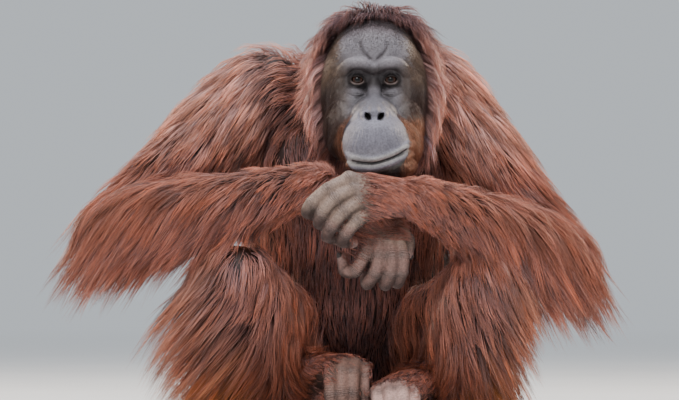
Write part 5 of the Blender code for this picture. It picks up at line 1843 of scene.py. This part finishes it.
@dataclass
class HairMesh:
    """Thin three-sided tapered hairs along rows of points."""

    path: np.ndarray
    normals: np.ndarray
    width: np.ndarray
    shade: np.ndarray
    spots: np.ndarray

    PATCH: ClassVar[float] = 0.003
    TAPER: ClassVar[tuple[float, ...]] = (0.80, 1.00, 0.80, 0.52)

    def build(self, name: str) -> bpy.types.Object:
        """The hairs as one mesh, coloured from root to tip, with a bake map."""
        count, stations = self.path.shape[:2]
        rings = stations - 1
        ahead = unit(np.gradient(self.path, axis=1))
        out = np.repeat(self.normals[:, None], stations, axis=1)
        across = unit(np.cross(ahead, out))
        out = np.cross(across, ahead)
        taper = np.interp(np.linspace(0, 1, rings), np.linspace(0, 1, len(self.TAPER)), self.TAPER)
        wide = (self.width[:, None] * taper[None, :] / 2)[:, :, None]
        ring = self.path[:, :rings]
        beside, above = across[:, :rings] * wide, out[:, :rings] * wide * 0.9
        corners = np.stack([ring + beside, ring + above, ring - beside], axis=2)
        each = rings * 3 + 1
        points = np.concatenate([corners.reshape(count, rings * 3, 3), self.path[:, -1:]], axis=1)
        points[:, :, 2] = np.maximum(points[:, :, 2], LOWEST_CORNER)
        faces = self.faces_of_one(rings)
        index = (faces[None] + (np.arange(count) * each)[:, None, None]).reshape(-1, 3)
        mesh = bpy.data.meshes.new(name)
        mesh.vertices.add(count * each)
        mesh.vertices.foreach_set("co", points.ravel())
        mesh.loops.add(len(index) * 3)
        mesh.loops.foreach_set("vertex_index", index.ravel())
        mesh.polygons.add(len(index))
        mesh.polygons.foreach_set("loop_start", np.arange(len(index)) * 3)
        mesh.update(calc_edges=True)
        self.colour(mesh, rings)
        self.unwrap(mesh, index, rings)
        shade_smooth(mesh)
        LOG.info("%s: %d hairs, %d triangles", name, count, len(index))
        return object_of(name, mesh)

    def faces_of_one(self, rings: int) -> np.ndarray:
        """The triangles of a single hair, facing out."""
        faces = [(0, 1, 2)]
        for r in range(rings - 1):
            for k in range(3):
                a, b = 3 * r + k, 3 * r + (k + 1) % 3
                faces += [(a, a + 3, b), (b, a + 3, b + 3)]
        tip, last = rings * 3, (rings - 1) * 3
        faces += [(last + k, tip, last + (k + 1) % 3) for k in range(3)]
        return np.array(faces)

    def colour(self, mesh: bpy.types.Mesh, rings: int) -> None:
        """Roots darkened as painted shade deep in the coat, full colour half way and lighter, more orange tips."""
        at = np.linspace(0.0, 1.0, rings + 1)
        # painted shade: roots get 0.28 of the hair's colour, as the coat shades them
        factor = np.interp(at, (0.0, 0.40, 1.0), (0.28, 0.92, 1.32))
        warm = np.outer(np.interp(at, (0.0, 0.4, 1.0), (0.0, 0.0, 1.0)), np.array([0.22, -0.02, -0.30])) + 1.0
        rows = self.shade[:, None] * factor[None, :, None] * warm[None]
        body = np.repeat(rows[:, :rings], 3, axis=1)
        paint(mesh, "Col", np.concatenate([body, rows[:, -1:]], axis=1).reshape(-1, 3))

    def unwrap(self, mesh: bpy.types.Mesh, index: np.ndarray, rings: int) -> None:
        """Gives each hair its own small patch at its root's place on the skin's unwrap."""
        at = np.repeat(np.linspace(0.0, 1.0, rings + 1)[:-1], 3)
        side = np.tile([0.0, 0.5, 1.0], rings)
        patch = np.concatenate([np.stack([side, at], axis=1), [[0.5, 1.0]]]) * self.PATCH
        rows = (self.spots[:, None] + patch[None]).reshape(-1, 2)
        layer = mesh.uv_layers.new(name=BAKE_MAP)
        layer.data.foreach_set("uv", rows[index.ravel()].astype(np.float32).ravel())


class Coat:
    """All the long hair of the body, in one piece for each part."""

    SIZES = {
        "torso_back": StrandSizes(8200, 950, lift=0.026),
        "torso_front": StrandSizes(5500, 700, lift=0.010, cling=0.7),
        "head": StrandSizes(
            11500,
            1700,
            width=0.0010,
            lift=0.036,
            cling=0.5,
            clump=0.42,
            wave=0.0016,
            least_ride=0.35,
            tip_height=0.35,
            steepest=0.56,
        ),
        "upper_arm": StrandSizes(7000, 680),
        "forearm": StrandSizes(7400, 660),
        "thigh": StrandSizes(5400, 560, lift=0.021),
        "shank": StrandSizes(6600, 620, cling=0.15),
        "hand": StrandSizes(2400, 330, width=0.0009, lift=0.004, cling=0.8, wave=0.0010, root_depth=0.0012),
        "foot": StrandSizes(1200, 180, width=0.0011, lift=0.005, cling=0.8, wave=0.0010, root_depth=0.0012),
    }

    BACK_OF = {
        Region.HAND_RIGHT: (-0.3, -0.8, 0.6),
        Region.HAND_LEFT: (0.0, -0.6, 1.0),
        Region.FOOT_RIGHT: (-0.3, -0.35, 1.0),
        Region.FOOT_LEFT: (0.2, -0.35, 1.0),
    }

    def __init__(self, skin: bpy.types.Object) -> None:
        """Reads the skin that the coat grows on."""
        self.surface = Surface(skin)
        self.flow = Flow()
        self.strands = Strands(self.flow, Tint(self.flow), self.surface.tree)

    def hairy(self) -> np.ndarray:
        """How thickly each face of the skin carries long hair, from 0 to 1."""
        faces = self.surface
        x, y, z = faces.middles.T
        body = (faces.parts == Part.BODY) & (z > 0.02)
        ahead = y < EYES.y + HEAD_SIZES.closed_at - 0.0005
        near_skull = distance_to_line(faces.middles, self.flow.bones[Region.HEAD].line)[0] < 0.072
        under_face = (y < EYES.y + 0.055) & (np.abs(x - EYES.x) < 0.07) & (z > 0.40)
        cover = smooth(Hairline().cover(faces.middles), 0.2, 0.7)
        head = np.where((faces.parts == Part.HEAD) & ahead & (np.abs(x - EYES.x) < 0.074), cover, 0.0)
        thick = 0.6 + 0.4 * smooth(z, 0.40, 0.46)
        return np.maximum.reduce([thick * (body & ~(near_skull & ahead) & ~under_face), head, self.backs()])

    def backs(self) -> np.ndarray:
        """How much each face lies on the hairy back of a hand or on an instep."""
        faces = self.surface
        found = np.zeros(len(faces.areas))
        for region, bone in self.flow.bones.items():
            if region.kind not in ("hand", "foot"):
                continue
            hand = region.kind == "hand"
            away = bone.line[0] - bone.line[1]
            along = (faces.middles - bone.line[1]) @ away / (away @ away)
            near = distance_to_line(faces.middles, bone.line)[0] < 0.050
            up = np.array(self.BACK_OF[region])
            top = smooth(faces.normals @ (up / np.linalg.norm(up)), -0.15, 0.35)
            start = (-0.05, 0.60) if hand else (-0.20, 0.40)
            mine = (faces.parts == (Part.HAND if hand else Part.FOOT)) & near
            found = np.where(mine, np.maximum(found, top * smooth(along, *start)), found)
        return found

    def build(self) -> list[bpy.types.Object]:
        """Grows every piece."""
        hairy = self.hairy()
        region = self.flow.region_of(self.surface.middles)
        region[self.surface.parts == Part.HEAD] = Region.HEAD.value
        back = (self.surface.middles[:, 1] > -0.02) | (self.surface.middles[:, 2] > 0.455)
        finish = CoatFinish().build()
        made = []
        for part, bone in self.flow.bones.items():
            wanted = hairy * (region == part.value)
            plans = {part.name.lower(): wanted}
            if part is Region.TORSO:
                plans = {"torso_back": wanted * back, "torso_front": wanted * ~back}
            for name, share in plans.items():
                sizes = self.SIZES.get(name) or self.SIZES[part.kind]
                piece = self.strands.grow("coat_" + name, self.surface, share, sizes, Unwrap(bone.line))
                piece.data.materials.append(finish)
                made.append(piece)
        return made


# Short fur


@dataclass(frozen=True)
class BristleSizes:
    """Inputs of the bristle tree."""

    density: float
    length: float
    width: float = 0.0005
    seed: int = 5


@dataclass
class Bristles:
    """Short fur that stands over the bare skin, laid out by a node tree."""

    surface: Surface

    def tree(self) -> bpy.types.NodeTree:
        """The node tree: points on the faces, a small cone on each, turned into the fur's lie."""
        tree = bpy.data.node_groups.new("bristles", "GeometryNodeTree")
        face_in = tree.interface
        face_in.new_socket("Geometry", in_out="INPUT", socket_type="NodeSocketGeometry")
        for name in ("Density", "Length", "Width"):
            face_in.new_socket(name, in_out="INPUT", socket_type="NodeSocketFloat")
        face_in.new_socket("Seed", in_out="INPUT", socket_type="NodeSocketInt")
        face_in.new_socket("Material", in_out="INPUT", socket_type="NodeSocketMaterial")
        face_in.new_socket("Geometry", in_out="OUTPUT", socket_type="NodeSocketGeometry")
        nodes, links = tree.nodes, tree.links
        given = nodes.new("NodeGroupInput").outputs
        result = nodes.new("NodeGroupOutput").inputs

        def named(name: str, kind: str) -> bpy.types.NodeSocket:
            """What is stored on the patch under a name."""
            node = nodes.new("GeometryNodeInputNamedAttribute")
            node.data_type = kind
            node.inputs["Name"].default_value = name
            return next(s for s in node.outputs if s.enabled and s.name == "Attribute")

        def product(first: bpy.types.NodeSocket, second: bpy.types.NodeSocket) -> bpy.types.NodeSocket:
            """Two numbers multiplied."""
            node = nodes.new("ShaderNodeMath")
            node.operation = "MULTIPLY"
            links.new(first, node.inputs[0])
            links.new(second, node.inputs[1])
            return node.outputs[0]

        spread = nodes.new("GeometryNodeDistributePointsOnFaces")
        links.new(given["Geometry"], spread.inputs["Mesh"])
        links.new(product(named("fur", "FLOAT"), given["Density"]), spread.inputs["Density"])
        links.new(given["Seed"], spread.inputs["Seed"])
        keep = nodes.new("GeometryNodeStoreNamedAttribute")
        keep.data_type = "FLOAT_VECTOR"
        keep.domain = "POINT"
        keep.inputs["Name"].default_value = "root"
        links.new(spread.outputs["Points"], keep.inputs["Geometry"])
        links.new(nodes.new("GeometryNodeInputPosition").outputs[0], keep.inputs["Value"])
        cone = nodes.new("GeometryNodeMeshCone")
        cone.inputs["Vertices"].default_value = 3
        cone.inputs["Radius Top"].default_value = 0.0
        cone.inputs["Radius Bottom"].default_value = 1.0
        cone.inputs["Depth"].default_value = 1.0
        turn = nodes.new("FunctionNodeAlignEulerToVector")
        turn.axis = "Z"
        links.new(named("lie", "FLOAT_VECTOR"), turn.inputs["Vector"])
        vary = nodes.new("FunctionNodeRandomValue")
        vary.data_type = "FLOAT"
        low, high = (s for s in vary.inputs if s.enabled and s.name in ("Min", "Max"))
        low.default_value = 0.55
        high.default_value = 1.25
        links.new(given["Seed"], vary.inputs["Seed"])
        share = next(s for s in vary.outputs if s.enabled)
        size = nodes.new("ShaderNodeCombineXYZ")
        links.new(given["Width"], size.inputs["X"])
        links.new(given["Width"], size.inputs["Y"])
        links.new(product(product(share, named("fur_length", "FLOAT")), given["Length"]), size.inputs["Z"])
        plant = nodes.new("GeometryNodeInstanceOnPoints")
        links.new(keep.outputs["Geometry"], plant.inputs["Points"])
        links.new(cone.outputs["Mesh"], plant.inputs["Instance"])
        links.new(turn.outputs["Rotation"], plant.inputs["Rotation"])
        links.new(size.outputs["Vector"], plant.inputs["Scale"])
        real = nodes.new("GeometryNodeRealizeInstances")
        links.new(plant.outputs["Instances"], real.inputs["Geometry"])
        finish = nodes.new("GeometryNodeSetMaterial")
        links.new(real.outputs["Geometry"], finish.inputs["Geometry"])
        links.new(given["Material"], finish.inputs["Material"])
        links.new(finish.outputs["Geometry"], result["Geometry"])
        return tree

    def prepare(
        self, name: str, wanted: np.ndarray, fur: np.ndarray, lengths: np.ndarray, lie: np.ndarray
    ) -> bpy.types.Object:
        """A patch of skin that the fur grows on.

        Args:
            name: The patch's name.
            wanted: Which faces of the skin it takes.
            fur: How thickly each face carries fur, from 0 to 1.
            lengths: The fur's length on each face, as a share of the tree's own.
            lie: The fur's direction on each face.

        Returns:
            The patch, which carries these values for the tree.
        """
        faces = np.flatnonzero(wanted)
        corners = self.surface.corners[faces].reshape(-1, 3)
        index = np.arange(len(corners)).reshape(-1, 3)
        mesh = bpy.data.meshes.new(name)
        mesh.from_pydata([tuple(p) for p in corners], [], [tuple(t) for t in index])
        store(mesh, "fur", np.repeat(fur[faces], 3))
        store(mesh, "fur_length", np.repeat(lengths[faces], 3))
        layer = mesh.attributes.new("lie", "FLOAT_VECTOR", "POINT")
        layer.data.foreach_set("vector", np.repeat(lie[faces], 3, axis=0).astype(np.float32).ravel())
        return object_of(name, mesh)

    def grow(
        self,
        name: str,
        patch: bpy.types.Object,
        tree: bpy.types.NodeTree,
        sizes: BristleSizes,
        finish: bpy.types.Material,
        colour: Callable[[np.ndarray], np.ndarray],
        unwrap: Unwrap,
    ) -> bpy.types.Object:
        """Runs the tree on a patch and turns what it makes into a plain mesh.

        Args:
            name: The piece's name.
            patch: The skin that the fur grows on.
            tree: The bristle tree.
            sizes: The tree's inputs.
            finish: The fur's material.
            colour: Gives the fur's colour at rows of roots.
            unwrap: Where a root lies on the unwrapped skin.

        Returns:
            The piece of fur.
        """
        modifier = patch.modifiers.new("bristles", "NODES")
        modifier.node_group = tree
        given = {
            "Density": sizes.density,
            "Length": sizes.length,
            "Width": sizes.width,
            "Seed": sizes.seed,
            "Material": finish,
        }
        for item in tree.interface.items_tree:
            if item.item_type == "SOCKET" and item.in_out == "INPUT" and item.name in given:
                modifier[item.identifier] = given[item.name]
        bpy.context.view_layer.update()
        graph = bpy.context.evaluated_depsgraph_get()
        mesh = bpy.data.meshes.new_from_object(patch.evaluated_get(graph))
        mesh.name = name
        patch.modifiers.clear()
        bpy.data.objects.remove(patch)
        roots = read(mesh.attributes["root"].data, "vector", 3, np.float32).astype(float)
        points = points_of(mesh)
        reach = np.linalg.norm(points - roots, axis=1)
        longest = reach.max() + 1e-9
        # painted shade: each bristle is darkest at its root and lighter towards its tip
        shade = colour(roots) * (0.75 + 0.6 * np.clip(reach / longest, 0, 1))[:, None]
        grain = np.random.default_rng(sizes.seed).normal(1.0, 0.14, len(roots))
        _, own = np.unique(np.round(roots, 5), axis=0, return_inverse=True)
        paint(mesh, "Col", shade * np.clip(grain[own.reshape(-1)], 0.55, 1.5)[:, None])
        spots = unwrap.place(roots)
        side = np.stack([np.arange(len(roots)) % 4 / 4, reach / longest], axis=1) * HairMesh.PATCH
        index = read(mesh.loops, "vertex_index", kind=np.int64)
        layer = mesh.uv_layers.get(BAKE_MAP) or mesh.uv_layers.new(name=BAKE_MAP)
        layer.data.foreach_set("uv", (spots + side)[index].astype(np.float32).ravel())
        shade_smooth(mesh)
        LOG.info("%s: %d triangles", name, len(mesh.polygons))
        return object_of(name, mesh)


@dataclass
class ShortFur:
    """Fur of the face, the backs of the hands and the insteps."""

    surface: Surface
    tint: Tint
    markings: Markings

    HAND_BACKS: ClassVar[dict[Side, Place]] = {Side.LEFT: (0.0, -0.5, 1.0), Side.RIGHT: (0.0, -0.8, 0.6)}
    INSTEP: ClassVar[Place] = (0.0, -0.35, 1.0)

    def tilted(self, lie: np.ndarray, rise: float) -> np.ndarray:
        """Directions along the skin that stand off it a little."""
        normals = self.surface.normals
        flat = lie - normals * np.sum(lie * normals, axis=1)[:, None]
        return unit(flat) + normals * rise

    def face_fur(self) -> tuple[np.ndarray, np.ndarray, np.ndarray]:
        """Density, length and lie of the fur on the face."""
        local = self.surface.middles - np.array(EYES)
        x, _, z = local.T
        wide = np.abs(x)
        head = self.markings.head
        on_head = (self.surface.parts == Part.HEAD) & (wide < 0.074)
        forehead = smooth(z, 0.030, 0.062) * 0.55
        temple = smooth(wide, 0.036, 0.056) * smooth(z, -0.070, -0.030)
        jaw = smooth(wide, 0.046, 0.060) * (1.0 - smooth(z, -0.070, -0.040))
        muzzle = self.markings.muzzle(local)
        side = (1.0 - smooth(muzzle, 0.2, 0.7)) * smooth(-z, 0.040, 0.060) * 0.9
        mouth = np.array(head.mouth)
        under = np.interp(x, mouth[:, 0], mouth[:, 1]) - z
        chin = smooth(under, 0.014, 0.020) * 0.9
        eye = np.minimum(np.hypot(x - head.eye_spacing, z + 0.002), np.hypot(x + head.eye_spacing, z + 0.002))
        fur = np.maximum.reduce([forehead, temple, jaw, side, chin]) * smooth(eye, 0.017, 0.026)
        fur = np.where(under > 0.010, fur, fur * (1.0 - smooth(muzzle, 0.2, 0.8)))
        fur *= 1.0 - Hairline().cover(self.surface.middles) * 0.5
        lengths = 0.42 + 0.75 * np.maximum.reduce([smooth(wide, 0.044, 0.066), 0.8 * chin, 1.3 * side])
        turn = np.radians(95.0 - 150.0 * (1.0 - smooth(z, -0.010, 0.075)) - 40.0 * smooth(wide, 0.020, 0.060))
        lie = np.stack([np.tanh(x / 0.006) * np.cos(turn), np.zeros(len(x)), np.sin(turn)], axis=1)
        return np.where(on_head, fur, 0.0), lengths, self.tilted(lie, 0.30)

    def face_tone(self, roots: np.ndarray) -> np.ndarray:
        """Dark olive-brown fur on brow and temples, orange beside the muzzle, black-brown on the chin."""
        x, _, z = (roots - np.array(EYES)).T
        wide = np.abs(x)
        colour = np.tile(srgb(*COAT_TONES.brow_fur), (len(roots), 1))
        colour = toned(colour, COAT_TONES.temple_fur, smooth(wide, 0.036, 0.052) * smooth(z, -0.030, 0.010))
        colour = toned(colour, COAT_TONES.cheek_fur, smooth(wide, 0.036, 0.050) * (1.0 - smooth(z, -0.030, 0.0)))
        share = self.markings.beside_muzzle(x, z)
        edge = smooth(share, 0.84, 0.98) * (1.0 - smooth(share, 1.08, 1.26))
        beside = np.maximum(edge, smooth(x, 0.034, 0.052)) * smooth(-z, 0.040, 0.062)
        colour = toned(colour, COAT_TONES.muzzle_fur, 0.85 * beside)
        return toned(colour, COAT_TONES.chin_fur, (1.0 - smooth(wide, 0.030, 0.046)) * smooth(-z, 0.112, 0.124))

    def limb_fur(self, hands: bool) -> tuple[np.ndarray, np.ndarray, np.ndarray]:
        """Density, length and lie of the fur on the backs of the hands or on the insteps."""
        faces = self.surface
        fur = np.zeros(len(faces.areas))
        lengths = np.ones(len(faces.areas))
        lie = np.zeros_like(faces.middles)
        for side in Side:
            if hands:
                end = np.array(ARMS[side].end)
                knuckles = np.array([VIEW.point(*p) for p in KNUCKLES[side].values()])
                back = np.array(self.HAND_BACKS[side])
            else:
                end = np.array(LEGS[side].end)
                knuckles = np.array([VIEW.point(*p) for p in TOE_ROOTS[side].values()])
                back = np.array(self.INSTEP)
            middle = knuckles.mean(axis=0)
            away = end - middle
            span = np.linalg.norm(away)
            along = (faces.middles - middle) @ away / span**2
            near = np.linalg.norm(faces.middles - middle - np.clip(along, 0, 1)[:, None] * away, axis=1) < 0.060
            kind = faces.parts == (Part.HAND if hands else Part.FOOT)
            top = smooth(faces.normals @ (back / np.linalg.norm(back)), -0.1, 0.45)
            mine = near & kind & (along > -0.12)
            fur = np.where(mine, top * smooth(along, -0.10, 0.18), fur)
            lengths = np.where(mine, 0.5 + 0.7 * np.clip(along, 0, 1), lengths)
            lie = np.where(mine[:, None], away / span + (0.0, 0.0, -0.15), lie)
        return fur, lengths, self.tilted(lie, 0.28)

    def build(self) -> list[bpy.types.Object]:
        """Grows the fur of the face, the hands and the feet."""
        bristles = Bristles(self.surface)
        tree = bristles.tree()
        finish = CoatFinish(sheen=0.1).build()
        head_line = np.array([face(0, 0.05, -0.12), face(0, 0.05, 0.08)])
        limb_line = np.array([[0.0, -0.25, 0.0], [0.0, -0.25, 0.4]])
        plans = (
            ("fur_face", self.face_fur(), BristleSizes(620000.0, 0.0085, 0.00025), self.face_tone, head_line),
            ("fur_hands", self.limb_fur(True), BristleSizes(200000.0, 0.0150, 0.00040), self.tint.at, limb_line),
            ("fur_feet", self.limb_fur(False), BristleSizes(150000.0, 0.0150, 0.00040), self.tint.at, limb_line),
        )
        made = []
        for name, (fur, lengths, lie), sizes, colour, line in plans:
            patch = bristles.prepare(name + "_patch", fur > 0.02, fur, lengths, lie)
            made.append(bristles.grow(name, patch, tree, sizes, finish, colour, Unwrap(line)))
        return made


# Stage


@dataclass(frozen=True)
class Lamp:
    """One soft light."""

    name: str
    place: Place
    aim: Place
    size: float
    power: float
    colour: Place

    def build(self) -> bpy.types.Object:
        """The light, turned to what it lights."""
        data = bpy.data.lights.new(self.name, "AREA")
        data.shape = "DISK"
        data.size = self.size
        data.energy = self.power
        data.color = self.colour
        lamp = bpy.data.objects.new(self.name, data)
        bpy.context.scene.collection.objects.link(lamp)
        lamp.location = self.place
        lamp.rotation_euler = (Vector(self.aim) - Vector(self.place)).to_track_quat("-Z", "Y").to_euler()
        return lamp


LAMPS = (
    Lamp("sky", (0.0, -0.4, 3.2), (0.0, -0.1, 0.3), 3.2, 110.0, (0.90, 0.93, 1.0)),
    Lamp("front", (-0.7, -3.2, 3.1), (0.0, -0.2, 0.35), 1.1, 75.0, (1.0, 0.97, 0.95)),
    Lamp("rim_left", (2.2, 1.3, 1.5), (0.1, 0.0, 0.35), 0.9, 66.0, (1.0, 0.82, 0.62)),
    Lamp("rim_right", (-2.2, 1.3, 1.3), (-0.1, 0.0, 0.3), 0.9, 56.0, (1.0, 0.84, 0.66)),
)


class Stage:
    """Floor, soft lights and the photograph's camera."""

    DISTANCE = 8.0
    SENSOR = 36.0
    WIDTH_SEEN = 0.9506
    AIM = (-0.0175, -0.25, 0.319)
    FLOOR_HALF = 14.0

    def build(self) -> None:
        """Sets up everything that is not the model."""
        bm = bmesh.new()
        bmesh.ops.create_grid(bm, x_segments=1, y_segments=1, size=self.FLOOR_HALF)
        mesh = bpy.data.meshes.new("floor")
        bm.to_mesh(mesh)
        bm.free()
        mesh.materials.append(FloorFinish().build())
        floor = object_of("floor", mesh)
        world = bpy.data.worlds.new("studio")
        bpy.context.scene.world = world
        world.use_nodes = True
        background = world.node_tree.nodes["Background"]
        background.inputs["Color"].default_value = BACKDROP.colour
        background.inputs["Strength"].default_value = BACKDROP.strength
        lamps = [lamp.build() for lamp in LAMPS]
        data = bpy.data.cameras.new("camera")
        data.sensor_width = self.SENSOR
        data.lens = self.SENSOR * self.DISTANCE / self.WIDTH_SEEN
        camera = bpy.data.objects.new("camera", data)
        bpy.context.scene.collection.objects.link(camera)
        x, y, z = self.AIM
        camera.location = (x, y - self.DISTANCE, z)
        camera.rotation_euler = (math.pi / 2, 0.0, 0.0)
        bpy.context.scene.camera = camera


FLESH = ("torso", "neck", "head")
LIMB_NODES = ("upper_arm", "forearm", "palm", "thigh", "shank", "foot", "hallux", "ear")
FINGER_NODES = ("thumb", "index", "middle", "ring", "little")


def flesh_nodes() -> list[str]:
    """Every node that the skin stands for."""
    names = list(FLESH)
    for side in Side:
        names += [f"{part}_{side.word}" for part in LIMB_NODES]
        names += [f"finger_{finger}_{side.word}" for finger in FINGER_NODES]
        names += [f"toe_{k}_{side.word}" for k in (1, 2, 3, 4)]
    return names


def main() -> None:
    """Builds the model in order."""
    logging.basicConfig(level=logging.INFO, format="%(name)s: %(message)s")
    digits = Digits(DigitSizes())
    markings = Markings(digits, HEAD_SIZES)
    skin = Skin(digits, markings).build()
    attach(skin, BODY)
    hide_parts(*flesh_nodes())
    for side in Side:
        eye = Eye(side, HEAD_SIZES).build()
        eye.data.materials.append(EyeFinish().build())
        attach(eye, BODY)
        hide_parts(f"eye_{side.word}")
    nails = Nails(digits).build()
    nails.data.materials.append(NailFinish().build())
    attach(nails, BODY)
    coat = Coat(skin)
    fur = ShortFur(coat.surface, coat.strands.tint, markings)
    for piece in coat.build() + fur.build():
        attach(piece, BODY)
    Stage().build()


if __name__ == "__main__":
    main()
